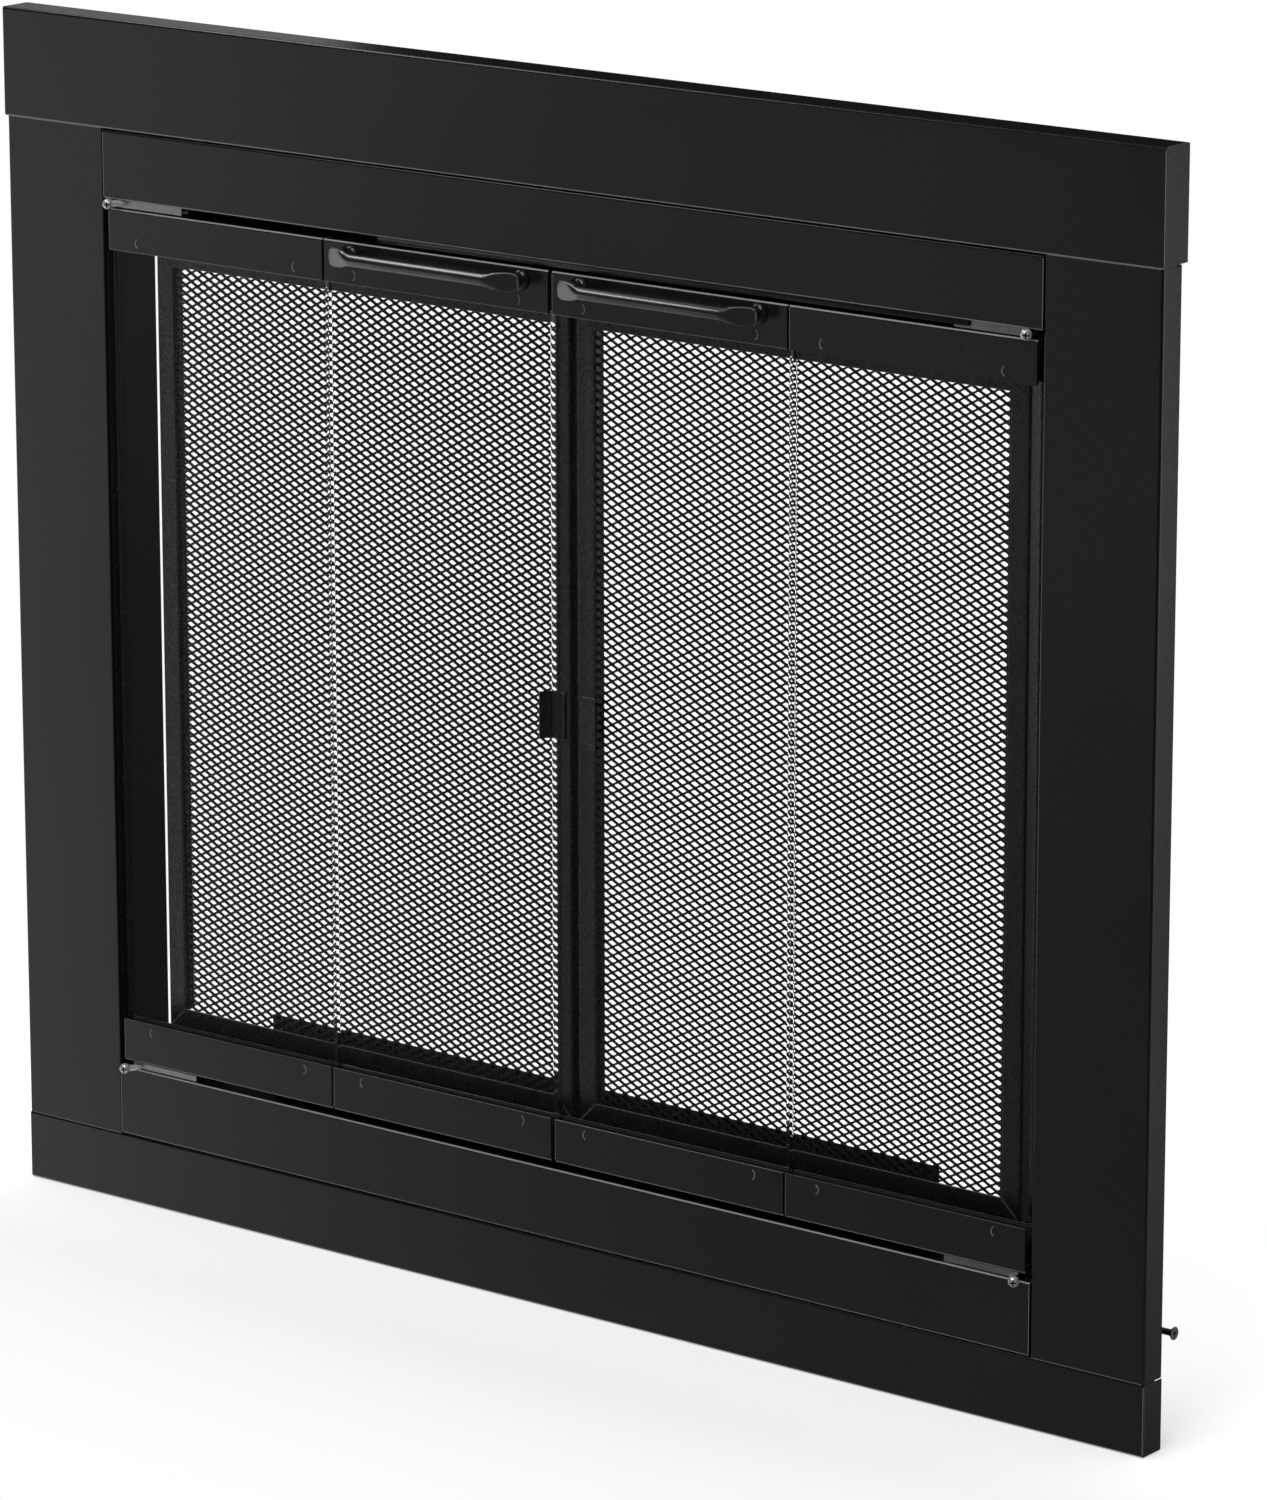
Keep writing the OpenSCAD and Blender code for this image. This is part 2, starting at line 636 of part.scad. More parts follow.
// a rectangle with its two front corners rounded
module bent_box(y0, y1, a, b, r) {
    translate([y0 + r, a]) square([y1 - y0 - r, b - a]);
    translate([y0, a + r]) square([r + 0.1, b - a - 2 * r]);
    for (z = [a + r, b - r]) translate([y0 + r, z]) circle(r = r, $fn = 48);
}
module mesh_frame_shape() {
    t = sheet_t;
    f = mesh_face;
    w = mesh_out - mesh_mid;
    h = mesh_top - mesh_bottom;
    xm = (mesh_mid + mesh_out) / 2;
    zm = (mesh_bottom + mesh_top) / 2;
    difference() {
        mesh_shell(0, mesh_y + mesh_depth);
        mesh_shell(t, mesh_y + mesh_depth + 1);
        block([mesh_mid + f, mesh_y - 1, mesh_bottom + f], [mesh_out - f, mesh_y + mesh_depth, mesh_top - f]);
        // seams of the mitres
        for (a = [-1, 1]) for (b = [-1, 1])
            translate([xm + a * w / 2, mesh_y, zm + b * h / 2])
                rotate([0, a > 0 ? b * 135 : b * 45, 0])
                    block([0, -1, -mitre_w / 2], [f * 1.6, 0.35, mitre_w / 2]);
        rod_z(mesh_pin_r + 0.1, mesh_bottom - 1, mesh_bottom + t + 1, mesh_pin_x, mesh_pin_y);
        rod_z(mesh_pin_r + 0.1, mesh_top - t - 1, mesh_top + 1, mesh_pin_x, mesh_pin_y);
    }
}
mitre_w = 0.5;

// expanded sheet: staggered diamonds cut out of a plate that lies behind the frame's face
module screen_shape() {
    x0 = mesh_mid + bend_r + 0.1;
    // clear of the hinge pins on the outer side
    x1 = mesh_pin_x - mesh_pin_r - 2;
    z0 = mesh_bottom + bend_r + 0.1;
    z1 = mesh_top - bend_r - 0.1;
    // the diamonds start just inside the frame's face
    xa = mesh_mid + mesh_face + screen_rim;
    za = mesh_bottom + mesh_face + screen_rim;
    w = mesh_out - mesh_face - screen_rim - xa;
    h = mesh_top - mesh_face - screen_rim - za;
    nx = floor(w / diamond_w);
    nz = floor(h / diamond_h);
    dx = w / nx;
    dz = h / nz;
    a = (dx - strand * norm([dx, dz]) / dz) / 2;
    b = (dz - strand * norm([dx, dz]) / dx) / 2;
    translate([0, mesh_y + sheet_t + screen_t, 0]) rotate([90, 0, 0]) linear_extrude(screen_t)
        difference() {
            translate([x0, z0]) square([x1 - x0, z1 - z0]);
            for (i = [0:nx - 1]) for (j = [0:nz - 1])
                translate([xa + (i + 0.5) * dx, za + (j + 0.5) * dz])
                    polygon([[-a, 0], [0, -b], [a, 0], [0, b]]);
            for (i = [1:nx - 1]) for (j = [1:nz - 1])
                translate([xa + i * dx, za + j * dz])
                    polygon([[-a, 0], [0, -b], [a, 0], [0, b]]);
        }
}

screen_rim = 0.5;

// pull: a base on the frame's face and a lip that leans out from it
module pull_shape() {
    x = mesh_mid + 4.5;
    z0 = pull_z - pull_l / 2;
    z1 = pull_z + pull_l / 2;
    along_z(z0, z1) polygon([[x, mesh_y], [x, mesh_y - 1.2], [x + 11.2, mesh_y - 1.2],
        [x + 16.2, mesh_y - 8], [x + 17.2, mesh_y - 7.3], [x + 12.4, mesh_y - 0.8],
        [x + 12.4, mesh_y]]);
}

module mesh_pins_shape() {
    zt = mesh_top;
    zb = mesh_bottom;
    head_r = mesh_depth / 2 - bend_r - 0.1;
    rod_z(mesh_pin_r, zt - sheet_t - 1.5, zt + bracket_gap + bracket_t + 1.5, mesh_pin_x, mesh_pin_y);
    rod_z(head_r, zt - sheet_t - 3, zt - sheet_t - 0.02, mesh_pin_x, mesh_pin_y);
    rod_z(mesh_pin_r, zb - bracket_gap - bracket_t - 1.5, zb + sheet_t + 1.5, mesh_pin_x, mesh_pin_y);
    rod_z(head_r, zb + sheet_t + 0.02, zb + sheet_t + 3, mesh_pin_x, mesh_pin_y);
    // the door's weight rests on this collar
    rod_z(mesh_pin_r + 1.8, zb - bracket_gap + 0.1, zb - 0.05, mesh_pin_x, mesh_pin_y);
}

// angle bracket on the right jamb that carries a mesh door's pin
bracket_screw_z = [mesh_top + bracket_gap + 0.8 * bracket_leg, mesh_bottom - bracket_gap - 0.8 * bracket_leg];
module mesh_bracket_pair() {
    for (up = [true, false]) {
        z = up ? mesh_top + bracket_gap : mesh_bottom - bracket_gap - bracket_t;
        z0 = up ? z : z - bracket_leg;
        z1 = up ? z + bracket_t + bracket_leg : z + bracket_t;
        difference() {
            union() {
                block([mesh_pin_x, mesh_pin_y - bracket_half, z],
                    [jamb_x, mesh_pin_y + bracket_half, z + bracket_t]);
                rod_z(bracket_half, z, z + bracket_t, mesh_pin_x, mesh_pin_y);
                block([jamb_x - bracket_t, mesh_pin_y - bracket_half, z0],
                    [jamb_x, mesh_pin_y + bracket_half, z1]);
            }
            rod_z(mesh_pin_r + run_clear, z - 1, z + bracket_t + 1, mesh_pin_x, mesh_pin_y);
            rod_x(1.7, jamb_x - bracket_t - 1, jamb_x + 1, mesh_pin_y, bracket_screw_z[up ? 0 : 1]);
        }
    }
}

// ---------- catches ----------

// magnet under the header behind an inner leaf's free end
module glass_catch() {
    x = inner_x + catch_in;
    y0 = leaf_back + magnet_gap;
    difference() {
        block([x - 12, y0, header_z - 24], [x + 12, y0 + 9, header_z]);
        block([x - 8, y0 - 1, header_z - 21], [x + 8, y0 + 0.4, header_z - 12]);
    }
}
// magnet on the header's hanging lip, behind the free edges of both gate doors
module mesh_catch_shape() {
    y0 = mesh_y + mesh_depth + magnet_gap;
    difference() {
        block([-catch_half, y0, mesh_top - catch_lap], [catch_half, box_depth - sheet_t, mesh_top - 1]);
        for (s = [-1, 1]) block([s * 12 - 7, y0 - 1, mesh_top - catch_lap + 2], [s * 12 + 7, y0 + 0.4, mesh_top - 3]);
    }
}

// ---------- air shutter ----------

slot_n = floor((shutter_w - slot_l) / slot_pitch);
slot_z = sill_z + vent_h * 0.55;
module vent_plate_shape() {
    difference() {
        union() {
            block([-vent_half, vent_y, sill_z - 18], [vent_half, vent_y + sheet_t, sill_z + vent_h]);
            // guides that hold the shutter
            for (x = [-0.75, -0.25, 0.25, 0.75]) for (q = [0, 1]) {
                xm = x * vent_half;
                z = q ? sill_z + vent_h - 4 : sill_z + 6;
                zi = q ? z - 2.4 : z + 2.4;
                block([xm - 5, vent_y - sheet_t - 2 * free_gap, min(z, z + (q ? 1.2 : -1.2))],
                    [xm + 5, vent_y, max(z, z + (q ? 1.2 : -1.2))]);
                block([xm - 5, vent_y - 2 * sheet_t - 2 * free_gap, min(q ? z + 1.2 : z - 1.2, zi)],
                    [xm + 5, vent_y - sheet_t - 2 * free_gap, max(q ? z + 1.2 : z - 1.2, zi)]);
            }
        }
        for (i = [-slot_n:slot_n]) air_slot(i * slot_pitch, vent_y - 1, vent_y + 3);
        for (x = vent_screw_x) rod_y(1.7, vent_y - 1, vent_y + 3, x, sill_z - 11);
    }
}
module air_slot(x, y0, y1) {
    q = (slot_l - slot_h) / 2;
    block([x - q, y0, slot_z - slot_h / 2], [x + q, y1, slot_z + slot_h / 2]);
    for (s = [-1, 1]) rod_y(slot_h / 2, y0, y1, x + s * q, slot_z, 32);
}
module shutter_shape() {
    y1 = vent_y - free_gap;
    z0 = sill_z + 6 + free_gap;
    z1 = sill_z + vent_h - 4 - free_gap;
    difference() {
        union() {
            block([-shutter_w - shutter_travel / 2, y1 - sheet_t, z0],
                [shutter_w - shutter_travel / 2, y1, z1]);
            // thumb knob
            rod_y(5, y1 - sheet_t - 4.2, y1 - sheet_t, -slot_pitch, slot_z, 40);
        }
        for (i = [-slot_n:slot_n - 1]) if (i != -1)
            air_slot(i * slot_pitch + slot_pitch / 2, y1 - 3, y1 + 1);
    }
}

// ---------- fixing to the masonry ----------

module lintel_clamp() {
    z = header_z + 2;
    difference() {
        union() {
            block([clamp_x - 14, box_depth, lintel_screw_z - 9], [clamp_x + 14, box_depth + 2, z + 24]);
            block([clamp_x - 14, box_depth, z + 22], [clamp_x + 14, box_depth + clamp_reach, z + 24]);
            block([clamp_x - 14, box_depth + clamp_reach - 2, z + 22],
                [clamp_x + 14, box_depth + clamp_reach, z + clamp_rise]);
        }
        for (x = [clamp_x - 8, clamp_x + 8]) rod_y(2.2, box_depth - 1, box_depth + 3, x, lintel_screw_z);
        rod_y(3.2, box_depth + clamp_reach - 3, box_depth + clamp_reach + 1, clamp_x, z + clamp_rise - 12);
    }
}
module anchor_bracket() {
    difference() {
        union() {
            block([jamb_x + sheet_t, anchor_front, anchor_z - anchor_half],
                [jamb_x + sheet_t + bracket_t, anchor_y + 3.4, anchor_z + anchor_half]);
            block([jamb_x + sheet_t, anchor_front, anchor_z - anchor_half],
                [jamb_x + sheet_t + anchor_foot, anchor_front + bracket_t, anchor_z + anchor_half]);
        }
        for (s = [-1, 1])
            rod_x(sheet_hole_r, jamb_x + sheet_t - 1, jamb_x + sheet_t + 3, anchor_hole[0],
                anchor_z + s * anchor_hole[1]);
        rod_x(anchor_r + 0.1, jamb_x + sheet_t - 1, jamb_x + sheet_t + 3, anchor_y, anchor_z);
    }
}
module anchor_screw() {
    x0 = jamb_x + sheet_t + 1;
    difference() {
        union() {
            rod_x(anchor_r, x0, jamb_x + anchor_reach - 3, anchor_y, anchor_z);
            translate([jamb_x + anchor_reach - 3, anchor_y, anchor_z]) rotate([0, 90, 0])
                cylinder(r1 = anchor_r, r2 = 4.4, h = 2.4, $fn = 40);
            rod_x(4.4, jamb_x + anchor_reach - 0.6, jamb_x + anchor_reach, anchor_y, anchor_z, 40);
        }
        for (q = [0, 90]) translate([jamb_x + anchor_reach, anchor_y, anchor_z])
            rotate([q, 0, 0]) block([-1.4, -2.4, -0.5], [1, 2.4, 0.5]);
    }
    // nut on the bracket
    difference() {
        translate([jamb_x + sheet_t + bracket_t, anchor_y, anchor_z]) rotate([0, 90, 0])
            cylinder(r = 4.2, h = 3.4, $fn = 6);
        rod_x(anchor_r - 0.01, x0, jamb_x + 20, anchor_y, anchor_z);
    }
}
module lintel_bolt() {
    z = header_z + 2 + clamp_rise - 12;
    y1 = box_depth + clamp_reach;
    rod_y(3.1, y1 - 24, y1 + 9, clamp_x, z);
    for (y = [y1 - 2 - 5, y1]) translate([clamp_x, y, z]) rotate([-90, 0, 0])
        cylinder(r = 5.8, h = 5, $fn = 6);
}

module frame_screws_shape() {
    for (x = rail_screw_x) {
        translate([x, rail_screw_y, header_top - sheet_t]) rotate([90, 0, 0]) pan_screw(1.6, seam_gap + 2.6);
        translate([x, rail_screw_y, sill_bottom + sheet_t]) rotate([-90, 0, 0]) pan_screw(1.6, seam_gap + 2.6);
    }
    for (s = [-1, 1]) for (z = jamb_screw_z)
        translate([s * open_x, jamb_screw_y, z]) rotate([0, 0, -s * 90]) pan_screw(1.6, 3);
    for (x = vent_screw_x) translate([x, vent_y + sheet_t, sill_z - 11])
        rotate([0, 0, 180]) pan_screw(1.5, 3);
    for (x = lintel_screw_x) translate([x, box_depth + 2, lintel_screw_z])
        rotate([0, 0, 180]) pan_screw(2, 4);
    for (s = [-1, 1]) for (z = bracket_screw_z)
        translate([s * (jamb_x - bracket_t), mesh_pin_y, z]) rotate([0, 0, -s * 90]) pan_screw(1.5, 4);
    for (s = [-1, 1]) for (q = [-1, 1])
        translate([s * (jamb_x + sheet_t + bracket_t), anchor_hole[0], anchor_z + q * anchor_hole[1]])
            rotate([0, 0, s * 90]) pan_screw(1.5, 3.6);
}

// ---------- nodes ----------

black = [0.035, 0.035, 0.037];
zinc = [0.62, 0.62, 0.6];
dark = [0.16, 0.16, 0.17];
gate = [0.05, 0.06, 0.055];
glassy = [0.6, 0.66, 0.66, 0.35];
soft = [0.1, 0.1, 0.1];

module top_rail() color(black) seat() top_rail_shape();
module left_stile() color(black) left() stile_shape();
module right_stile() color(black) right() stile_shape();
module bottom_rail() color(black) seat() bottom_rail_shape();
module header_channel() color(black) seat() header_shape();
module sill_channel() color(black) seat() sill_shape();
module left_jamb() color(black) left() jamb_shape();
module right_jamb() color(black) right() jamb_shape();
module pivot_brackets() color(zinc) both() {
    pivot_strip(header_z, leaf_top + strip_gap);
    pivot_strip(sill_z, leaf_bottom - strip_gap);
}
module pivot_screws() color(zinc) both() {
    strip_screw(leaf_top + 3.95, header_z - 0.05);
    strip_screw(leaf_bottom - 4.25, sill_z + 0.05);
}
module frame_screws() color(zinc) seat() frame_screws_shape();
module mesh_hinge_brackets() color(black) both() mesh_bracket_pair();
module glass_catches() color(soft) both() glass_catch();
module mesh_catch() color(soft) seat() mesh_catch_shape();
module vent_plate() color(black) seat() vent_plate_shape();
module lintel_clamps() color(zinc) both() lintel_clamp();
module anchor_brackets() color(zinc) both() anchor_bracket();
module masonry_screws() color(zinc) both() { anchor_screw(); lintel_bolt(); }
module vent_shutter() color(black) seat() shutter_shape();

module outer_glass() color(glassy) glass_shape(outer_x);
module outer_top_clip(arcs) color(black) difference() {
    clip_shape(outer_x, leaf_top, top_clip_h, true, arcs);
    rod_z(pivot_r, leaf_top - 5, leaf_top + 1, pivot_x, leaf_mid);
}
module outer_bottom_clip(arcs) color(black) difference() {
    clip_shape(outer_x, leaf_bottom, bottom_clip_h, false, arcs);
    rod_z(pivot_r, leaf_bottom - 1, leaf_bottom + 5, pivot_x, leaf_mid);
}
module outer_pads() color(soft) pads_shape(outer_x);
module outer_screws() color(black) { clamp_screws(outer_x); hinge_rivets(1); }
module outer_hinges() color(black) hinge_shape(1);
module inner_glass() color(glassy) glass_shape(inner_x);
module inner_top_clip(arcs) color(black) difference() {
    clip_shape(inner_x, leaf_top, top_clip_h, true, arcs);
    handle_holes();
}
module inner_bottom_clip(arcs) color(black) clip_shape(inner_x, leaf_bottom, bottom_clip_h, false, arcs);
module inner_pads() color(soft) difference() { pads_shape(inner_x); handle_pockets(); }
module inner_screws() color(black) { clamp_screws(inner_x); hinge_rivets(-1); handle_screws(); }
module inner_hinges() color(black) hinge_shape(-1);
module handle() color(dark) handle_shape();

module left_outer_glass() left() outer_glass();
module left_outer_top_clip() left() outer_top_clip([1, 1]);
module left_outer_bottom_clip() left() outer_bottom_clip([-1, 1]);
module left_outer_pads() left() outer_pads();
module left_outer_screws() left() outer_screws();
module left_outer_hinges() left() outer_hinges();
module left_outer_pins() color(zinc) left() outer_pins();
module left_inner_glass() left() inner_glass();
module left_inner_top_clip() left() inner_top_clip([-1, -1]);
module left_inner_bottom_clip() left() inner_bottom_clip([-1, 1]);
module left_inner_pads() left() inner_pads();
module left_inner_screws() left() inner_screws();
module left_inner_hinges() left() inner_hinges();
module left_handle() left() handle();
module right_outer_glass() right() outer_glass();
module right_outer_top_clip() right() outer_top_clip([-1, -1]);
module right_outer_bottom_clip() right() outer_bottom_clip([1, -1]);
module right_outer_pads() right() outer_pads();
module right_outer_screws() right() outer_screws();
module right_outer_hinges() right() outer_hinges();
module right_outer_pins() color(zinc) right() outer_pins();
module right_inner_glass() right() inner_glass();
module right_inner_top_clip() right() inner_top_clip([1, 1]);
module right_inner_bottom_clip() right() inner_bottom_clip([-1, 1]);
module right_inner_pads() right() inner_pads();
module right_inner_screws() right() inner_screws();
module right_inner_hinges() right() inner_hinges();
module right_handle() right() handle();
module left_mesh_frame() color(gate) left() mesh_frame_shape();
module left_mesh_screen() color(gate) left() screen_shape();
module left_mesh_pull() color(gate) left() pull_shape();
module left_mesh_pins() color(zinc) left() mesh_pins_shape();
module right_mesh_frame() color(gate) right() mesh_frame_shape();
module right_mesh_screen() color(gate) right() screen_shape();
module right_mesh_pull() color(gate) right() pull_shape();
module right_mesh_pins() color(zinc) right() mesh_pins_shape();

top_rail();
left_stile();
right_stile();
bottom_rail();
header_channel();
sill_channel();
left_jamb();
right_jamb();
pivot_brackets();
pivot_screws();
frame_screws();
mesh_hinge_brackets();
glass_catches();
mesh_catch();
vent_plate();
lintel_clamps();
anchor_brackets();
masonry_screws();
vent_shutter();
left_outer_glass();
left_outer_top_clip();
left_outer_bottom_clip();
left_outer_pads();
left_outer_screws();
left_outer_hinges();
left_outer_pins();
left_inner_glass();
left_inner_top_clip();
left_inner_bottom_clip();
left_inner_pads();
left_inner_screws();
left_inner_hinges();
left_handle();
right_outer_glass();
right_outer_top_clip();
right_outer_bottom_clip();
right_outer_pads();
right_outer_screws();
right_outer_hinges();
right_outer_pins();
right_inner_glass();
right_inner_top_clip();
right_inner_bottom_clip();
right_inner_pads();
right_inner_screws();
right_inner_hinges();
right_handle();
left_mesh_frame();
left_mesh_screen();
left_mesh_pull();
left_mesh_pins();
right_mesh_frame();
right_mesh_screen();
right_mesh_pull();
right_mesh_pins();
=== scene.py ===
import bpy
import bmesh
import json
import math
from mathutils import Matrix, Vector


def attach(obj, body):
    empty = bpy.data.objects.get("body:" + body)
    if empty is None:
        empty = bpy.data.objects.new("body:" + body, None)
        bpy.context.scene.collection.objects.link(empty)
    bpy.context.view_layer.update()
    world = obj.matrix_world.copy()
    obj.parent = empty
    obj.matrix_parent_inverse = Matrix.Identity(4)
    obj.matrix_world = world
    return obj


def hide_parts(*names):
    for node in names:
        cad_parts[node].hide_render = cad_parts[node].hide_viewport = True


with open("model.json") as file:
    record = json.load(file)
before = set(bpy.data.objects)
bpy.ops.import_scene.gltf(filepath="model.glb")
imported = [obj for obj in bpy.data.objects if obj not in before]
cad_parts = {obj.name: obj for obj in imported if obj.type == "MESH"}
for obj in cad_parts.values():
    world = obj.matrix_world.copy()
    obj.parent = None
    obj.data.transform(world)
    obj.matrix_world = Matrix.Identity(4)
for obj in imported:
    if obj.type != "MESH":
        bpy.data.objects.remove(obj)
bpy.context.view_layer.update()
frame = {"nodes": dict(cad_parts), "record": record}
nodes = frame["nodes"]
scene = bpy.context.scene
scene.view_settings.view_transform = "Standard"

cameraPlace = {
    "turn": 0.6604306766584839,   # round to the right of the door, in radians
    "rise": 0.25198698222781946,
    "roll": -0.0008950721771483252,
    "distance": 4.6279,
    "aside": 0.0545471,           # aim point, from the middle of the door at aimHeight
    "above": -0.011299,
    "setBack": 0.012,             # the door's origin lies this far behind its front
    "aimHeight": 0.4,
    "lens": 168.6858,             # in mm, for a frame of frameSize along the picture's height
    "frameSize": 36,
    "farEnd": 60,
}


def placeCamera(p):
    back = Vector((math.sin(p["turn"]) * math.cos(p["rise"]),
                   -math.cos(p["turn"]) * math.cos(p["rise"]), math.sin(p["rise"])))
    right = Vector((math.cos(p["turn"]), math.sin(p["turn"]), 0))
    up = back.cross(right)
    aim = Vector((0, -p["setBack"], p["aimHeight"])) + right * p["aside"] + up * p["above"]
    c, s = math.cos(p["roll"]), math.sin(p["roll"])
    across, upright = right * c + up * s, up * c - right * s
    data = bpy.data.cameras.new("camera")
    data.lens = p["lens"]
    data.sensor_width = p["frameSize"]
    data.clip_end = p["farEnd"]
    camera = bpy.data.objects.new("camera", data)
    scene.collection.objects.link(camera)
    turn = Matrix((across, upright, back)).transposed().to_4x4()
    camera.matrix_world = Matrix.Translation(aim + back * p["distance"]) @ turn
    scene.camera = camera


placeCamera(cameraPlace)


# small helpers for the node trees

def startMaterial(name):
    material = bpy.data.materials.new(name)
    material.use_nodes = True
    tree = material.node_tree
    return material, tree, tree.nodes["Principled BSDF"]


def addNode(tree, kind, **values):
    node = tree.nodes.new(kind)
    for socket, value in values.items():
        node.inputs[socket].default_value = value
    return node


def mathNode(tree, operation, first, second=None):
    node = tree.nodes.new("ShaderNodeMath")
    node.operation = operation
    for socket, value in zip(node.inputs, (first, second)):
        if value is None:
            continue
        if isinstance(value, (int, float)):
            socket.default_value = value
        else:
            tree.links.new(value, socket)
    return node.outputs[0]


def times(tree, first, second):
    return mathNode(tree, "MULTIPLY", first, second)


def oneMinus(tree, share):
    return mathNode(tree, "SUBTRACT", 1, share)


def blend(tree, first, second, share):
    return mathNode(tree, "ADD", times(tree, first, oneMinus(tree, share)), times(tree, second, share))


def rampNode(tree, factor, stops):
    node = tree.nodes.new("ShaderNodeValToRGB")
    ramp = node.color_ramp
    for i, (place, colour) in enumerate(stops):
        stop = ramp.elements[i] if i < 2 else ramp.elements.new(place)
        stop.position = place
        stop.color = (colour,) * 3 + (1,) if isinstance(colour, (int, float)) else (*colour, 1)
    tree.links.new(factor, node.inputs[0])
    return node.outputs[0]


def noiseNode(tree, vector, scale, detail=3, rough=0.5):
    node = addNode(tree, "ShaderNodeTexNoise", Scale=scale, Detail=detail, Roughness=rough)
    tree.links.new(vector, node.inputs["Vector"])
    return node.outputs["Fac"]


def spread(tree, vector, scale):
    node = tree.nodes.new("ShaderNodeMapping")
    node.inputs["Scale"].default_value = scale
    tree.links.new(vector, node.inputs["Vector"])
    return node.outputs[0]


def rangeNode(tree, value, low, high, newLow, newHigh):
    node = addNode(tree, "ShaderNodeMapRange")
    for socket, number in zip(list(node.inputs)[1:5], (low, high, newLow, newHigh)):
        socket.default_value = number
    tree.links.new(value, node.inputs[0])
    return node.outputs[0]


def bumpNode(tree, height, strength, distance):
    node = addNode(tree, "ShaderNodeBump", Strength=strength, Distance=distance)
    tree.links.new(height, node.inputs["Height"])
    return node.outputs[0]


# white room: the floor keeps the shadow, and gloss sees a floor that is pale on the left

room = {
    "skyDiffuse": 0.75,
    "skyGloss": (0.015, 0.12),    # low in the sky, overhead
    "skyBand": (0.3, 0.95),       # between these heights of the view
    "floorHalf": 14,
    "floorDrop": 0.0004,
    "floorWhite": 0.80,
    "floorLift": (0.15, 0.42),    # glow the camera sees on top of the lit floor, in front and behind; the stronger glow behind the door is painted light over the door's shadow there
    "liftBand": (-0.12, 0.10),
    "floorPlain": (0.02, 0.45),   # further out from the door the camera sees plain white
    "doorHalf": 0.5,
    "slant": 0.776,               # the camera's way across the floor
    # in gloss, across the floor in front of the door: close to it, half way out and far out
    "frontOut": (-0.1, -1.2, -2.35),
    "frontGloss": [
        [(-0.80, 1.15), (-0.46, 0.74), (-0.33, 0.59), (-0.20, 0.46), (0.0, 0.335),
         (0.20, 0.25), (0.46, 0.215), (0.80, 0.12), (1.20, 0.05)],
        [(-0.80, 0.95), (-0.46, 0.47), (-0.33, 0.40), (-0.20, 0.33), (0.0, 0.28),
         (0.20, 0.25), (0.46, 0.22), (0.80, 0.16), (1.20, 0.05)],
        [(-0.80, 0.85), (-0.46, 0.44), (-0.33, 0.35), (-0.20, 0.29), (0.0, 0.25),
         (0.20, 0.30), (0.46, 0.50), (0.80, 0.34), (1.20, 0.04)],
    ],
    "backGloss": [(0.0, 0.16), (0.3, 0.36), (0.6, 0.66), (1.1, 0.92),
                  (1.55, 1.40), (2.05, 1.90), (2.6, 2.20)],
    "backEdge": (0.30, 0.46),     # behind the door only its right-hand side is lit in gloss
    "backLow": 0.04,
}


def spreadRamp(tree, value, stops):
    low, high = stops[0][0], stops[-1][0]
    top = max(level for place, level in stops)
    fitted = rangeNode(tree, value, low, high, 0, 1)
    grey = rampNode(tree, fitted, [((place - low) / (high - low), level / top) for place, level in stops])
    return times(tree, grey, top)


def seenStraight(tree, rays):
    # 1 for the camera's own rays, also where they have passed through the panes
    bounced = mathNode(tree, "ADD", rays.outputs["Glossy Depth"], rays.outputs["Diffuse Depth"])
    through = times(tree, rays.outputs["Is Transmission Ray"], mathNode(tree, "LESS_THAN", bounced, 0.5))
    return mathNode(tree, "MAXIMUM", rays.outputs["Is Camera Ray"], through)


def seenInGloss(tree, rays, seen):
    # 1 for every other ray that gloss or the panes send on
    either = mathNode(tree, "MAXIMUM", rays.outputs["Is Glossy Ray"], rays.outputs["Is Transmission Ray"])
    return times(tree, either, oneMinus(tree, seen))


def splitPlace(tree, kind):
    where = tree.nodes.new("ShaderNodeTexCoord")
    split = tree.nodes.new("ShaderNodeSeparateXYZ")
    tree.links.new(where.outputs[kind], split.inputs[0])
    return split.outputs


def makeSky(p):
    world = bpy.data.worlds.new("room")
    scene.world = world
    world.use_nodes = True
    tree = world.node_tree
    background = tree.nodes["Background"]
    rays = tree.nodes.new("ShaderNodeLightPath")
    height = splitPlace(tree, "Generated")[2]
    overhead = rangeNode(tree, height, *p["skyBand"], *p["skyGloss"])
    seen = seenStraight(tree, rays)
    gloss = times(tree, seenInGloss(tree, rays, seen), overhead)
    soft = times(tree, rays.outputs["Is Diffuse Ray"], p["skyDiffuse"])
    strength = mathNode(tree, "MAXIMUM", mathNode(tree, "MAXIMUM", seen, gloss), soft)
    background.inputs["Color"].default_value = (1, 1, 1, 1)
    tree.links.new(strength, background.inputs["Strength"])


def floorInGloss(tree, x, y, p):
    across = mathNode(tree, "SUBTRACT", x, times(tree, y, p["slant"]))
    near, half, wide = [spreadRamp(tree, across, stops) for stops in p["frontGloss"]]
    close, middle, far = p["frontOut"]
    front = blend(tree, near, half, rangeNode(tree, y, close, middle, 0, 1))
    front = blend(tree, front, wide, rangeNode(tree, y, middle, far, 0, 1))
    back = times(tree, spreadRamp(tree, y, p["backGloss"]),
                 rangeNode(tree, across, *p["backEdge"], p["backLow"], 1))
    return blend(tree, front, back, mathNode(tree, "GREATER_THAN", y, 0.0))


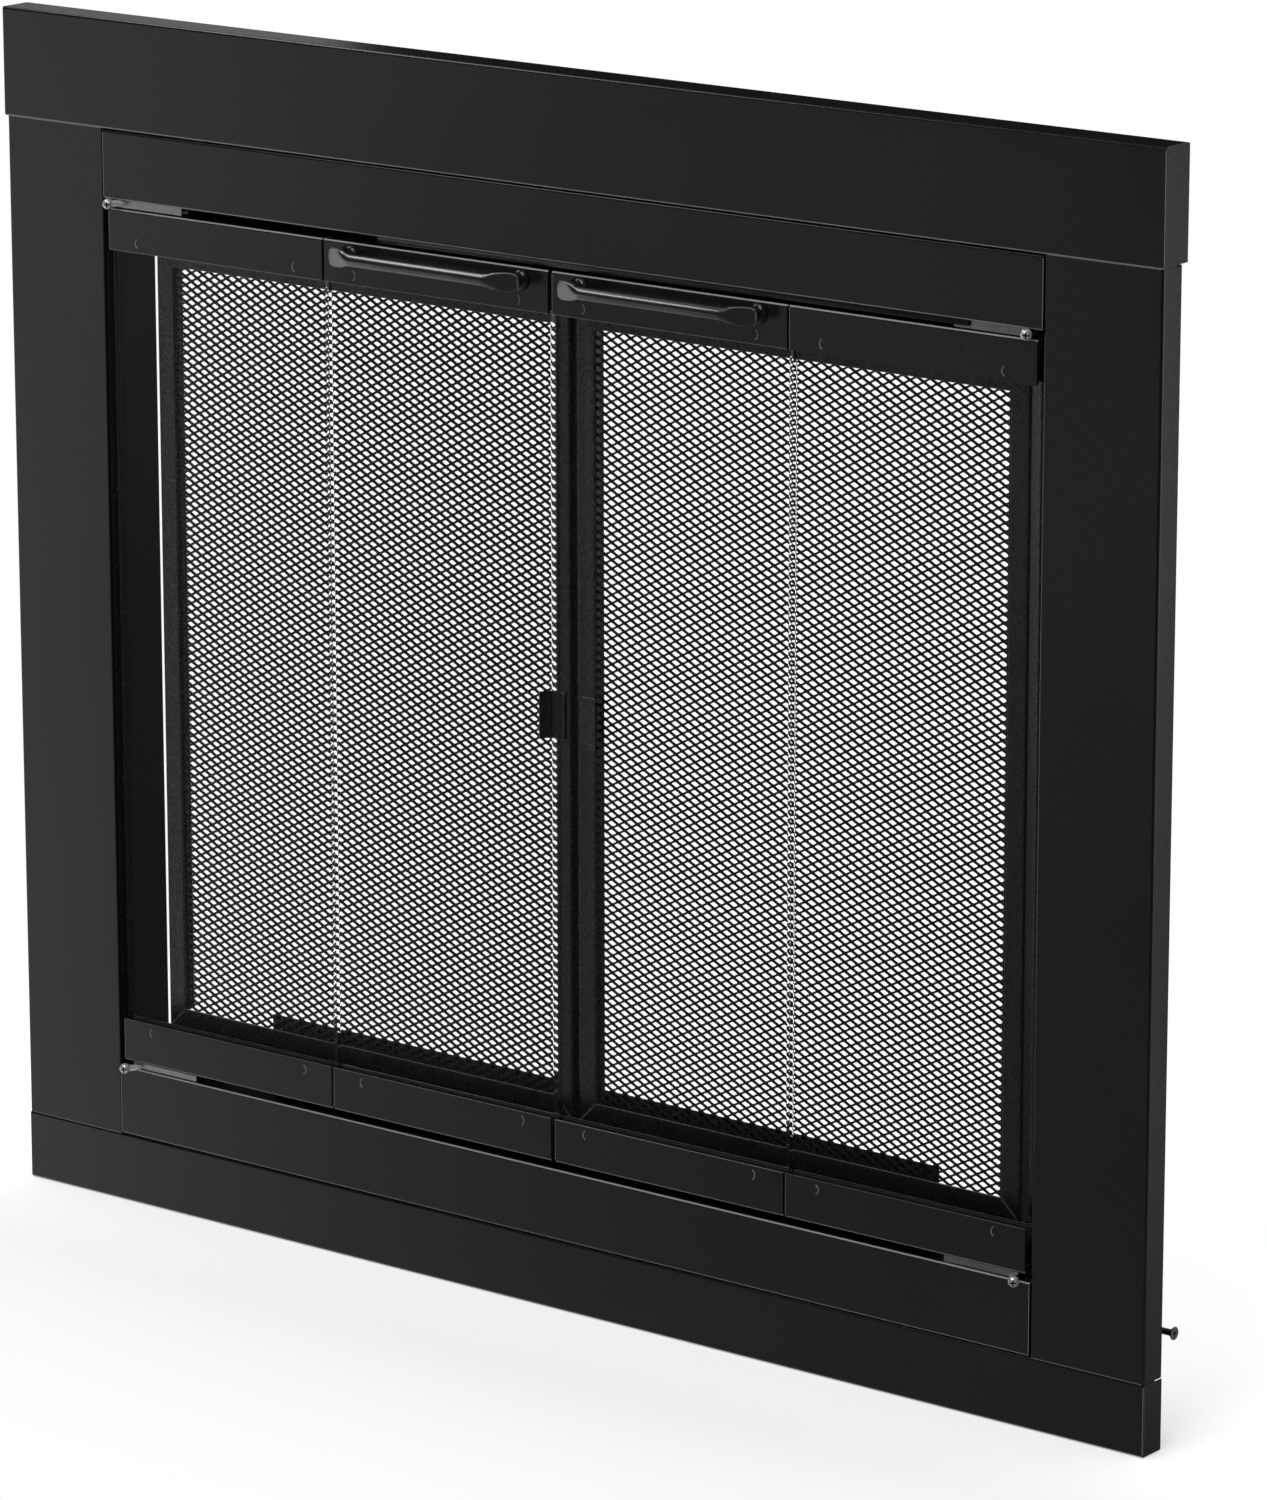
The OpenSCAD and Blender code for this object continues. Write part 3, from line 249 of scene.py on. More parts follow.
def floorFinish(p):
    material, tree, shader = startMaterial("floorWhite")
    tree.nodes.remove(shader)
    rays = tree.nodes.new("ShaderNodeLightPath")
    x, y = splitPlace(tree, "Object")[:2]
    gloss = floorInGloss(tree, x, y, p)
    seen = seenStraight(tree, rays)
    glossy = seenInGloss(tree, rays, seen)
    past = mathNode(tree, "SUBTRACT", mathNode(tree, "ABSOLUTE", x), p["doorHalf"])
    out = mathNode(tree, "MAXIMUM", mathNode(tree, "ABSOLUTE", y), past)
    plain = rangeNode(tree, out, *p["floorPlain"], 0, 1)
    base = rangeNode(tree, y, *p["liftBand"], *p["floorLift"])
    lift = mathNode(tree, "ADD", plain, times(tree, base, oneMinus(tree, plain)))
    lift = mathNode(tree, "ADD", times(tree, seen, lift), times(tree, glossy, gloss))
    dull = mathNode(tree, "MAXIMUM", glossy, times(tree, seen, plain))
    lit = tree.nodes.new("ShaderNodeBsdfDiffuse")
    tree.links.new(times(tree, oneMinus(tree, dull), p["floorWhite"]), lit.inputs["Color"])
    glow = tree.nodes.new("ShaderNodeEmission")
    tree.links.new(lift, glow.inputs["Strength"])
    both = tree.nodes.new("ShaderNodeAddShader")
    tree.links.new(lit.outputs[0], both.inputs[0])
    tree.links.new(glow.outputs[0], both.inputs[1])
    tree.links.new(both.outputs[0], tree.nodes["Material Output"].inputs["Surface"])
    return material


def layFloor(p):
    flat = bmesh.new()
    bmesh.ops.create_grid(flat, x_segments=2, y_segments=2, size=p["floorHalf"])
    mesh = bpy.data.meshes.new("floor")
    flat.to_mesh(mesh)
    flat.free()
    floor = bpy.data.objects.new("floor", mesh)
    scene.collection.objects.link(floor)
    floor.location = (0, 0, -p["floorDrop"])
    mesh.materials.append(floorFinish(p))


lamps = [
    # name, place, aim, width, height, watts
    ("softbox", (-1.15, -0.38, 2.0), (-0.1, -0.1, 0.5), 1.5, 0.26, 7),
    ("overhead", (0.3, -1.6, 2.6), (0, 0, 0.2), 1.6, 1.2, 30),
    ("leftCard", (-1.22, 0.85, 1.12), (-0.46, 0, 0.83), 0.5, 0.25, 0.19),
]


def hangLamps(lamps):
    for name, place, aim, width, height, watts in lamps:
        data = bpy.data.lights.new(name, "AREA")
        data.shape = "RECTANGLE"
        data.size, data.size_y, data.energy = width, height, watts
        lamp = bpy.data.objects.new(name, data)
        scene.collection.objects.link(lamp)
        lamp.visible_transmission = False
        lamp.location = place
        lamp.rotation_euler = (Vector(aim) - Vector(place)).to_track_quat("-Z", "Y").to_euler()


makeSky(room)
layFloor(room)
hangLamps(lamps)
print("camera, room and lamps are set")


# finishes

paint = {
    "dark": (0.0030, 0.0030, 0.0031),
    "pale": (0.0062, 0.0062, 0.0064),
    "contrast": (0.36, 0.66),
    "rough": (0.20, 0.28),
    "roughSpan": (0.3, 0.7),
    "gloss": 0.5,
    "grain": 1500,     # powder grain, per metre
    "orange": 420,     # slow waviness under the grain
    "cloud": 9,        # slow change of colour
    "grainShare": 0.7,
    "waveHeight": 1.6,  # waviness against grain in the relief
    "bump": 0.06,
    "relief": 0.00012,
}
gatePaint = dict(paint, dark=(0.0022, 0.0030, 0.0027), pale=(0.0046, 0.0060, 0.0055),
                 rough=(0.24, 0.32), grain=1300, orange=400, bump=0.03)
jambPaint = dict(paint, gloss=0.10, rough=(0.28, 0.36))
strandPaint = dict(gatePaint, dark=(0.0022, 0.0024, 0.0023), pale=(0.0044, 0.0048, 0.0046), gloss=0.30)
# pale paint that stands for a highlight on rounded edges and bends
edgeHighlightPaint = dict(paint, dark=(0.13, 0.13, 0.132), pale=(0.22, 0.22, 0.222), rough=(0.3, 0.4))
# near-black paint that stands for shade on edges, in gaps and in recesses
shadePaint = dict(paint, dark=(0.001, 0.001, 0.001), pale=(0.002, 0.002, 0.002),
                  rough=(0.45, 0.55), gloss=0.05)


def objectPlace(tree):
    return tree.nodes.new("ShaderNodeTexCoord").outputs["Object"]


def mixNoise(tree, fine, coarse, share):
    return mathNode(tree, "ADD", times(tree, fine, share), times(tree, coarse, 1 - share))


def colourFrom(tree, factor, shader, p):
    low, high = p["contrast"]
    tree.links.new(rampNode(tree, factor, [(low, p["dark"]), (high, p["pale"])]), shader.inputs["Base Color"])


def roughFrom(tree, factor, shader, p):
    tree.links.new(rangeNode(tree, factor, *p["roughSpan"], *p["rough"]), shader.inputs["Roughness"])


def reliefFrom(tree, height, shader, p):
    tree.links.new(bumpNode(tree, height, p["bump"], p["relief"]), shader.inputs["Normal"])


def powderPaint(name, p):
    material, tree, shader = startMaterial(name)
    shader.inputs["Specular IOR Level"].default_value = p["gloss"]
    where = objectPlace(tree)
    grain = noiseNode(tree, where, p["grain"], detail=2, rough=0.6)
    waves = noiseNode(tree, where, p["orange"], detail=2)
    cloud = noiseNode(tree, where, p["cloud"])
    mixed = mixNoise(tree, grain, cloud, p["grainShare"])
    colourFrom(tree, mixed, shader, p)
    roughFrom(tree, waves, shader, p)
    reliefFrom(tree, mathNode(tree, "ADD", grain, times(tree, waves, p["waveHeight"])), shader, p)
    return material


steel = {
    "dark": (0.25, 0.25, 0.245),
    "pale": (0.37, 0.37, 0.36),
    "contrast": (0.34, 0.64),
    "rough": (0.26, 0.34),
    "roughSpan": (0.35, 0.65),
    "brush": (60, 1500, 1500),    # lines run along the door's width
    "cloud": 160,
    "lineShare": 0.55,
    "bump": 0.25,
    "relief": 0.00006,
    "metal": 1,
}


def brushedZinc(name, p):
    material, tree, shader = startMaterial(name)
    where = objectPlace(tree)
    lines = noiseNode(tree, spread(tree, where, p["brush"]), 1, detail=4, rough=0.7)
    cloud = noiseNode(tree, where, p["cloud"], detail=4)
    mixed = mixNoise(tree, lines, cloud, p["lineShare"])
    colourFrom(tree, mixed, shader, p)
    roughFrom(tree, mixed, shader, p)
    reliefFrom(tree, lines, shader, p)
    shader.inputs["Metallic"].default_value = p["metal"]
    return material


satin = {
    "dark": (0.105, 0.105, 0.107),
    "pale": (0.135, 0.135, 0.137),
    "contrast": (0.35, 0.65),
    "rough": (0.19, 0.25),
    "roughSpan": (0.3, 0.7),
    "speck": 2400,
    "cloud": 55,
    "speckShare": 0.6,
    "bump": 0.06,
    "relief": 0.00005,
    "metal": 0.92,
}


def satinMetal(name, p):
    material, tree, shader = startMaterial(name)
    where = objectPlace(tree)
    speck = noiseNode(tree, where, p["speck"], rough=0.6)
    cloud = noiseNode(tree, where, p["cloud"])
    mixed = mixNoise(tree, speck, cloud, p["speckShare"])
    colourFrom(tree, mixed, shader, p)
    roughFrom(tree, speck, shader, p)
    reliefFrom(tree, speck, shader, p)
    shader.inputs["Metallic"].default_value = p["metal"]
    return material


pane = {
    "dark": (0.965, 0.985, 0.978),   # green tint where the surface film is thick
    "pale": (1, 1, 1),
    "contrast": (0.35, 0.7),
    "film": 6,
    "ior": 1.12,
}


def clearGlass(name, p):
    material, tree, shader = startMaterial(name)
    where = objectPlace(tree)
    film = noiseNode(tree, where, p["film"])
    colourFrom(tree, film, shader, p)
    shader.inputs["Transmission Weight"].default_value = 1
    shader.inputs["Roughness"].default_value = 0
    shader.inputs["IOR"].default_value = p["ior"]
    # lamps shine straight through
    rays = tree.nodes.new("ShaderNodeLightPath")
    clear = tree.nodes.new("ShaderNodeBsdfTransparent")
    both = tree.nodes.new("ShaderNodeMixShader")
    tree.links.new(rays.outputs["Is Shadow Ray"], both.inputs[0])
    tree.links.new(shader.outputs[0], both.inputs[1])
    tree.links.new(clear.outputs[0], both.inputs[2])
    tree.links.new(both.outputs[0], tree.nodes["Material Output"].inputs["Surface"])
    return material


strip = {
    "dark": (0.006, 0.006, 0.006),
    "pale": (0.022, 0.022, 0.021),
    "contrast": (0.2, 0.8),
    "weave": 900,
    "uneven": 2.5,
    "bump": 0.5,
    "relief": 0.0003,
    "rough": 0.9,
}


def wovenGasket(name, p):
    material, tree, shader = startMaterial(name)
    where = objectPlace(tree)
    wave = addNode(tree, "ShaderNodeTexWave", Scale=p["weave"], Distortion=p["uneven"], Detail=2)
    tree.links.new(where, wave.inputs["Vector"])
    threads = wave.outputs["Fac"]
    colourFrom(tree, threads, shader, p)
    reliefFrom(tree, threads, shader, p)
    shader.inputs["Roughness"].default_value = p["rough"]
    return material


plastic = {
    "dark": (0.008, 0.008, 0.009),
    "pale": (0.018, 0.018, 0.019),
    "contrast": (0.35, 0.65),
    "grain": 1100,
    "rough": (0.45, 0.6),
    "roughSpan": (0.3, 0.7),
    "bump": 0.3,
    "relief": 0.0001,
}


def mouldedPlastic(name, p):
    material, tree, shader = startMaterial(name)
    where = objectPlace(tree)
    grain = noiseNode(tree, where, p["grain"])
    colourFrom(tree, grain, shader, p)
    roughFrom(tree, grain, shader, p)
    reliefFrom(tree, grain, shader, p)
    return material


finishes = {
    "black_paint": powderPaint("blackPowder", paint),
    "gate_paint": powderPaint("gatePowder", gatePaint),
    "zinc": brushedZinc("brushedZinc", steel),
    "handle": satinMetal("satinMetal", satin),
    "glass": clearGlass("clearGlass", pane),
    "gasket": wovenGasket("wovenGasket", strip),
    "magnet": mouldedPlastic("mouldedPlastic", plastic),
}
strandFinish = powderPaint("strandPowder", strandPaint)
edgeHighlightFinish = powderPaint("edgePowder", edgeHighlightPaint)
shadeFinish = powderPaint("shadePowder", shadePaint)
jambFinish = powderPaint("jambPowder", jambPaint)
# lighter satin metal painted on the paddle rims as a highlight
rimHighlightFinish = satinMetal("satinRim", dict(satin, dark=(0.40, 0.40, 0.405), pale=(0.50, 0.50, 0.505),
                                        rough=(0.28, 0.34)))
darkScrewFinish = brushedZinc("darkZinc", dict(steel, dark=(0.02, 0.02, 0.02), pale=(0.04, 0.04, 0.04)))
screwFinish = brushedZinc("brightZinc", dict(steel, dark=(0.48, 0.48, 0.47), pale=(0.70, 0.70, 0.69),
                                             metal=0.75))
screwFinishes = {"pivot_screws": screwFinish, "frame_screws": darkScrewFinish}
slots = {part["node"]: part["material_slot"] for part in frame["record"]["subparts"]}

for name, slot in slots.items():
    nodes[name].data.materials.clear()
    nodes[name].data.materials.append(screwFinishes.get(name, finishes[slot]))
print("finishes are on the CAD pieces")


# small helpers for the pieces

weld = 0.00001
bothSides = (("right", 1), ("left", -1))


def keepPiece(name, form, slot, body, smooth=None, finish=None):
    mesh = bpy.data.meshes.new(name)
    form.to_mesh(mesh)
    form.free()
    mesh.materials.append(finish or finishes[slot])
    if smooth is not None:
        for face in mesh.polygons:
            face.use_smooth = True
        mesh.set_sharp_from_angle(angle=math.radians(smooth))
    piece = bpy.data.objects.new(name, mesh)
    scene.collection.objects.link(piece)
    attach(piece, body)
    return piece


def shift(form, verts, x=0, y=0, z=0):
    bmesh.ops.translate(form, verts=verts, vec=(x, y, z))


def turn(form, verts, degrees, axis):
    matrix = Matrix.Rotation(math.radians(degrees), 3, axis)
    bmesh.ops.rotate(form, verts=verts, cent=(0, 0, 0), matrix=matrix)


def block(form, low, high):
    made = bmesh.ops.create_cube(form, size=1)["verts"]
    low, high = Vector(low), Vector(high)
    bmesh.ops.scale(form, verts=made, vec=high - low)
    bmesh.ops.translate(form, verts=made, vec=(low + high) / 2)
    return made


def roundEdges(form, edges, wide, segments=2, slide=False):
    made = bmesh.ops.bevel(form, geom=edges, affect="EDGES", offset=wide, segments=segments, profile=0.5,
                           material=-1, clamp_overlap=False, loop_slide=slide)
    return set(made["faces"])


# the folded sheets get the small round that paint leaves on a cut edge; by the way they face, rounds and
# bends get a painted highlight or painted shade

cutEdges = {
    "weld": 0.000002,
    "flat": 0.8,          # degrees, below which two faces become one
    "round": 0.00030,
    "sharp": 50,          # degrees
    "shortest": 0.0012,
    "smooth": 25,         # degrees
    "turned": 0.35,       # how far a bend faces down or up and still gets the painted highlight
    "bendLength": 0.05,
    # bends that face up on these sheets also get the painted highlight
    "over": ["sill_channel", "left_outer_top_clip", "left_inner_top_clip", "right_outer_top_clip",
             "right_inner_top_clip"],
    "clipFront": -0.01105,
    "raised": 0.85,       # faces of the clips' raised marks that face the front less than this get the painted highlight
    "level": 0.2,         # how far a round may face sideways and still count as level, and get the painted highlight
    # upright edges painted dark as painted shade on both sides
    "plainEnds": ["header_channel", "sill_channel", "left_inner_top_clip", "left_inner_bottom_clip",
                  "right_outer_top_clip", "right_outer_bottom_clip"],
    # right-hand ends beside a narrow gap, by their place across the door: their front edge has a wider round,
    # painted dark as painted shade in the gap
    "gaps": {"left_stile": -0.3875, "left_outer_top_clip": -0.1931, "left_outer_bottom_clip": -0.1931,
             "right_inner_top_clip": 0.1919, "right_inner_bottom_clip": 0.1919},
    "gapRound": 0.0007,
    "gapReach": 0.0003,   # how near an edge lies to that place
    "gapFront": -0.0090,
    "gapShortest": 0.01,
    "gapWide": 0.0009,    # painted shade this far from it, on faces turned to the side less than gapSide
    "gapSide": 0.98,
    "nodes": {
        "surround": ["top_rail", "left_stile", "right_stile", "bottom_rail", "header_channel", "sill_channel",
                     "left_jamb", "right_jamb", "pivot_brackets"],
        "left_outer": ["left_outer_top_clip", "left_outer_bottom_clip"],
        "left_inner": ["left_inner_top_clip", "left_inner_bottom_clip"],
        "right_outer": ["right_outer_top_clip", "right_outer_bottom_clip"],
        "right_inner": ["right_inner_top_clip", "right_inner_bottom_clip"],
        "left_mesh": ["left_mesh_frame", "left_mesh_pull"],
        "right_mesh": ["right_mesh_frame", "right_mesh_pull"],
    },
}


def camel(name):
    first, *others = name.split("_")
    return first + "".join(word.capitalize() for word in others)


def isSharp(edge, p):
    return edge.is_manifold and edge.calc_face_angle(0) > math.radians(p["sharp"])


def roundGapEnd(form, name, p):
    gap = p["gaps"].get(name)
    if gap is None:
        return
    ends = [e for e in form.edges if isSharp(e, p)
            and all(abs(v.co.x - gap) < p["gapReach"] and v.co.y < p["gapFront"] for v in e.verts)
            and abs(e.verts[0].co.z - e.verts[1].co.z) > p["gapShortest"]]
    roundEdges(form, ends, p["gapRound"], slide=True)


def edgeHighlightOrShade(face, rounded, name, p):
    # 0 plain paint, 1 pale edge of painted highlight, 2 dark edge of painted shade
    n, middle = face.normal, face.calc_center_median()
    longest = max(e.calc_length() for e in face.edges)
    facing = n.z < -p["turned"] or n.z > p["turned"] and name in p["over"]
    # downward bends, upward ones on the sheets listed in over, and the sides of the clips' raised marks get a
    # painted highlight
    bend = longest > p["bendLength"] and n.y < -p["turned"] and facing
    raised = "clip" in name and middle.y < p["clipFront"] and abs(n.y) < p["raised"]
    # cut edges get a painted highlight above, below and towards the left, and painted shade towards the right
    cut = rounded and (abs(n.x) < p["level"] or n.x < 0 and name not in p["plainEnds"])
    if bend or raised or cut:
        return 1
    gap = p["gaps"].get(name)
    # faces beside a narrow gap get painted shade
    beside = gap is not None and abs(middle.x - gap) < p["gapWide"] and p["level"] < n.x < p["gapSide"]
    return 2 if rounded or beside else 0


def roundSheet(name, body, p):
    form = bmesh.new()
    form.from_mesh(nodes[name].data)
    bmesh.ops.remove_doubles(form, verts=form.verts, dist=p["weld"])
    bmesh.ops.dissolve_limit(form, angle_limit=math.radians(p["flat"]), verts=form.verts, edges=form.edges)
    roundGapEnd(form, name, p)
    edges = [e for e in form.edges if isSharp(e, p) and e.calc_length() > p["shortest"]]
    rounds = roundEdges(form, edges, p["round"], slide=True)
    for face in form.faces:
        face.material_index = edgeHighlightOrShade(face, face in rounds, name, p)
    finish = jambFinish if "jamb" in name else None
    piece = keepPiece(camel(name), form, slots[name], body, p["smooth"], finish)
    # slot 1: pale paint as a painted highlight
    piece.data.materials.append(edgeHighlightFinish)
    # slot 2: near-black paint as painted shade
    piece.data.materials.append(shadeFinish)
    weigh = piece.modifiers.new("weigh", "WEIGHTED_NORMAL")
    weigh.keep_sharp = True
    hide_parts(name)


for body, names in cutEdges["nodes"].items():
    for name in names:
        roundSheet(name, body, cutEdges)
print("cut edges are rounded")


# folded hem under the header's front, just above the clips

hem = {
    "ends": (-0.145, 0.331),
    "low": 0.7113, "high": 0.7158,
    "front": -0.0108, "back": -0.0092,
    "round": 0.0002,
    "smooth": 30,
}


def makeHem(p):
    form = bmesh.new()
    block(form, (p["ends"][0], p["front"], p["low"]), (p["ends"][1], p["back"], p["high"]))
    roundEdges(form, form.edges[:], p["round"])
    keepPiece("headerHem", form, "black_paint", "surround", p["smooth"])


makeHem(hem)


# turned-up ends of the sill, low behind the gate doors' outer corners

flap = {
    "ends": (0.336, 0.366),
    "low": 0.0990, "high": 0.1200,
    "front": 0.0400, "back": 0.0415,
    "round": 0.0003,
    "smooth": 30,
}


def makeFlaps(p):
    form = bmesh.new()
    for sign in (1, -1):
        x0, x1 = sorted(sign * end for end in p["ends"])
        block(form, (x0, p["front"], p["low"]), (x1, p["back"], p["high"]))
    roundEdges(form, form.edges[:], p["round"])
    keepPiece("sillFlaps", form, "black_paint", "surround", p["smooth"])


makeFlaps(flap)
print("hem and sill ends are made")


# bar handles: a round bar whose ends flatten into paddles that curl back to the clip

handle = {
    "centre": (0.0965, -0.0290, 0.7006),   # middle of the right-hand bar
    "half": 0.0560,                        # straight length each side
    "radius": 0.0045,
    "sides": 28,
    "smooth": 40,
    # along the curl: step, turn in degrees, half height, half thickness, front flatness
    "curl": [(0.0016, 1, 0.00452, 0.00440, 0.10), (0.0022, 2, 0.00480, 0.00400, 0.25),
             (0.0026, 3, 0.00528, 0.00345, 0.45), (0.0027, 4, 0.00572, 0.00295, 0.65),
             (0.0028, 4, 0.00606, 0.00255, 0.80), (0.0028, 3, 0.00628, 0.00230, 0.90),
             (0.0026, 2, 0.00638, 0.00220, 0.95), (0.0023, 2, 0.00628, 0.00212, 0.95),
             (0.0019, 1, 0.00590, 0.00205, 0.95), (0.0015, 0, 0.00520, 0.00195, 0.95),
             (0.0011, 0, 0.00420, 0.00180, 0.90), (0.0007, 0, 0.00300, 0.00150, 0.80),
             (0.0004, 0, 0.00150, 0.00090, 0.60)],
    "flatReach": 0.72,                     # the pressed front, as a share of the half thickness
    "flatCorner": 2.6,
    "dish": 0.04,
    "rim": 0.90,                           # pale rim of painted highlight, from this share of the half height out
    "rimFrom": 2,                          # first ring of the curl that has it
    "rimEnd": 3,                           # rings at the end that are all painted highlight
    "foot": 0.0720,                        # each leg from the middle
    "footDrop": 0.0002,
    "clipFace": -0.0110,
    # leg from the clip forward: out from the clip, radius
    "leg": [(0.0000, 0.0066), (0.0003, 0.0071), (0.0009, 0.0074), (0.0015, 0.0072), (0.0019, 0.0064),
            (0.0024, 0.0055), (0.0034, 0.0048), (0.0052, 0.0042), (0.0080, 0.0039), (0.0108, 0.0039),
            (0.0128, 0.0038), (0.0138, 0.0030)],
}


def ringOf(form, sides, radius):
    return bmesh.ops.create_circle(form, cap_ends=False, segments=sides, radius=radius)["verts"]


def loopEdges(verts):
    chosen = set(verts)
    return list({e for v in verts for e in v.link_edges if e.other_vert(v) in chosen})


def extrudeRing(form, verts):
    made = bmesh.ops.extrude_edge_only(form, edges=loopEdges(verts))
    return [v for v in made["geom"] if isinstance(v, bmesh.types.BMVert)]


def shapeRing(verts, centre, along, halfHeight, halfThick, flat, p):
    # upright oval across the run, its front pressed flat
    side = Vector((along.y, -along.x, 0)) * math.copysign(1, along.x)     # points to the front
    for i, v in enumerate(verts):
        a = 2 * math.pi * i / p["sides"]
        up, out = math.sin(a), math.cos(a)
        reach = out
        if out > 0:
            dish = p["dish"] * max(0, 1 - (up / p["flatReach"]) ** 2)
            front = p["flatReach"] * min(1, out * p["flatCorner"]) - dish
            reach = out * (1 - flat) + flat * front
        v.co = centre + Vector((0, 0, halfHeight * up)) + side * (halfThick * reach)


def curlEnd(form, ring, sign, p):
    highlightRims = []
    centre = Vector((sign * p["half"], 0, 0))
    angle = 0
    for number, (step, bend, high, thick, flat) in enumerate(p["curl"]):
        angle += math.radians(bend)
        along = Vector((sign * math.cos(angle), math.sin(angle), 0))
        centre = centre + along * step
        ring = extrudeRing(form, ring)
        shapeRing(ring, centre, along, high, thick, flat, p)
        atEnd = number >= len(p["curl"]) - p["rimEnd"]
        if number >= p["rimFrom"]:
            highlightRims += [v for i, v in enumerate(ring)
                     if atEnd or abs(math.sin(2 * math.pi * i / p["sides"])) > p["rim"]]
    bmesh.ops.contextual_create(form, geom=loopEdges(ring))
    return highlightRims


def makeHandle(p):
    form = bmesh.new()
    highlightRims = set()
    for sign in (1, -1):
        along = Vector((sign, 0, 0))
        ring = ringOf(form, p["sides"], p["radius"])
        shapeRing(ring, Vector((0, 0, 0)), along, p["radius"], p["radius"], 0, p)
        for share in (0.5, 1):
            ring = extrudeRing(form, ring)
            shapeRing(ring, along * (p["half"] * share), along, p["radius"], p["radius"], 0, p)
        highlightRims.update(curlEnd(form, ring, sign, p))
    for face in form.faces:
        # faces on the rim rings get the painted highlight
        face.material_index = 1 if all(v in highlightRims for v in face.verts) else 0
    bmesh.ops.remove_doubles(form, verts=form.verts, dist=weld)
    bmesh.ops.recalc_face_normals(form, faces=form.faces)
    return form


def makeLegs(p):
    form = bmesh.new()
    for sign in (1, -1):
        ring = ringOf(form, p["sides"], 1)
        turn(form, ring, 90, "X")
        place = Vector((sign * p["foot"], p["clipFace"] - p["centre"][1], -p["footDrop"]))
        shape = [v.co.copy() for v in ring]
        bmesh.ops.contextual_create(form, geom=loopEdges(ring))
        for i, (out, radius) in enumerate(p["leg"]):
            if i:
                ring = extrudeRing(form, ring)
            for v, c in zip(ring, shape):
                v.co = place + Vector((c.x * radius, -out, c.z * radius))
        bmesh.ops.contextual_create(form, geom=loopEdges(ring))
    bmesh.ops.recalc_face_normals(form, faces=form.faces)
    return form


def makeHandles(p):
    x, y, z = p["centre"]
    for side, sign in bothSides:
        form = makeHandle(p)
        shift(form, form.verts, sign * x, y, z)
        piece = keepPiece(side + "BarHandle", form, "handle", side + "_inner", p["smooth"])
        piece.data.materials.append(rimHighlightFinish)
        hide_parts(side + "_handle")
        form = makeLegs(p)
        shift(form, form.verts, sign * x, y, z)
        keepPiece(side + "HandleLegs", form, "black_paint", side + "_inner", p["smooth"])


makeHandles(handle)
print("handles are made")


# ball heads of the clamp screws at the pivots

balls = {
    "radius": 0.0038,
    "drop": 0.0001,
    "sides": 28, "rings": 16,
    "smooth": 40,
    "front": -0.0165,            # only the heads reach further forward than this
    "halfway": 0.4,              # between the upper and the lower screws
    "turn": 28,                  # degrees, towards the right
    "cross": (0.0008, 0.0043),   # width and length of the recess
    "crossHalf": 0.0006,
    "deep": 0.0004,
}


def headPlaces(p):
    corners = {}
    for vertex in nodes["pivot_screws"].data.vertices:
        if vertex.co.y < p["front"]:
            corners.setdefault((vertex.co.x > 0, vertex.co.z > p["halfway"]), []).append(vertex.co)
    for spots in corners.values():
        x, z = [(min(c[i] for c in spots) + max(c[i] for c in spots)) / 2 for i in (0, 2)]
        yield Vector((x, min(c.y for c in spots) + p["radius"], z - p["drop"]))


def makeBalls(p):
    form, cross = bmesh.new(), bmesh.new()
    thin, long = p["cross"]
    face = -p["radius"] + p["deep"]
    for centre in headPlaces(p):
        made = bmesh.ops.create_uvsphere(form, u_segments=p["sides"], v_segments=p["rings"],
                                         radius=p["radius"])["verts"]
        bmesh.ops.translate(form, verts=made, vec=centre)
        for wide, high in ((thin, long), (long, thin)):
            bar = block(cross, (-wide / 2, face - p["crossHalf"], -high / 2),
                        (wide / 2, face + p["crossHalf"], high / 2))
            turn(cross, bar, p["turn"], "Z")
            bmesh.ops.translate(cross, verts=bar, vec=centre)
    keepPiece("pivotBalls", form, "zinc", "surround", p["smooth"], screwFinish)
    # the cross recesses are blocks of near-black paint that stand for the shade inside them
    keepPiece("pivotCrosses", cross, "zinc", "surround", finish=shadeFinish)


makeBalls(balls)
print("ball heads are made")


# expanded metal screens of the gate doors

screen = {
    "long": 0.0106, "short": 0.00586,   # one diamond
    # strand widths falling and rising to the right, on each door
    "strand": {"right": (0.00184, 0.00146), "left": (0.00166, 0.00204)},
    "corner": 0.00045,                  # cut off each corner of a hole
    "sheet": 0.0004,
    "tilt": 0.00024,                    # how far the strands lean out of the sheet
    "columns": 32, "rows": 92,
    "left": 0.0090, "bottom": 0.1323,   # first diamond's outer corner, on the right-hand door
    "depth": 0.0158,                    # middle of the sheet
    "weld": 0.00002,
    "wallReach": 0.02,                  # how near a wall lies to the diamond's outline, as a share
}


def isOuterWall(face, p):
    return all(abs(abs(v.co.x) / (p["long"] / 2) + abs(v.co.z) / (p["short"] / 2) - 1) < p["wallReach"]
               for v in face.verts)


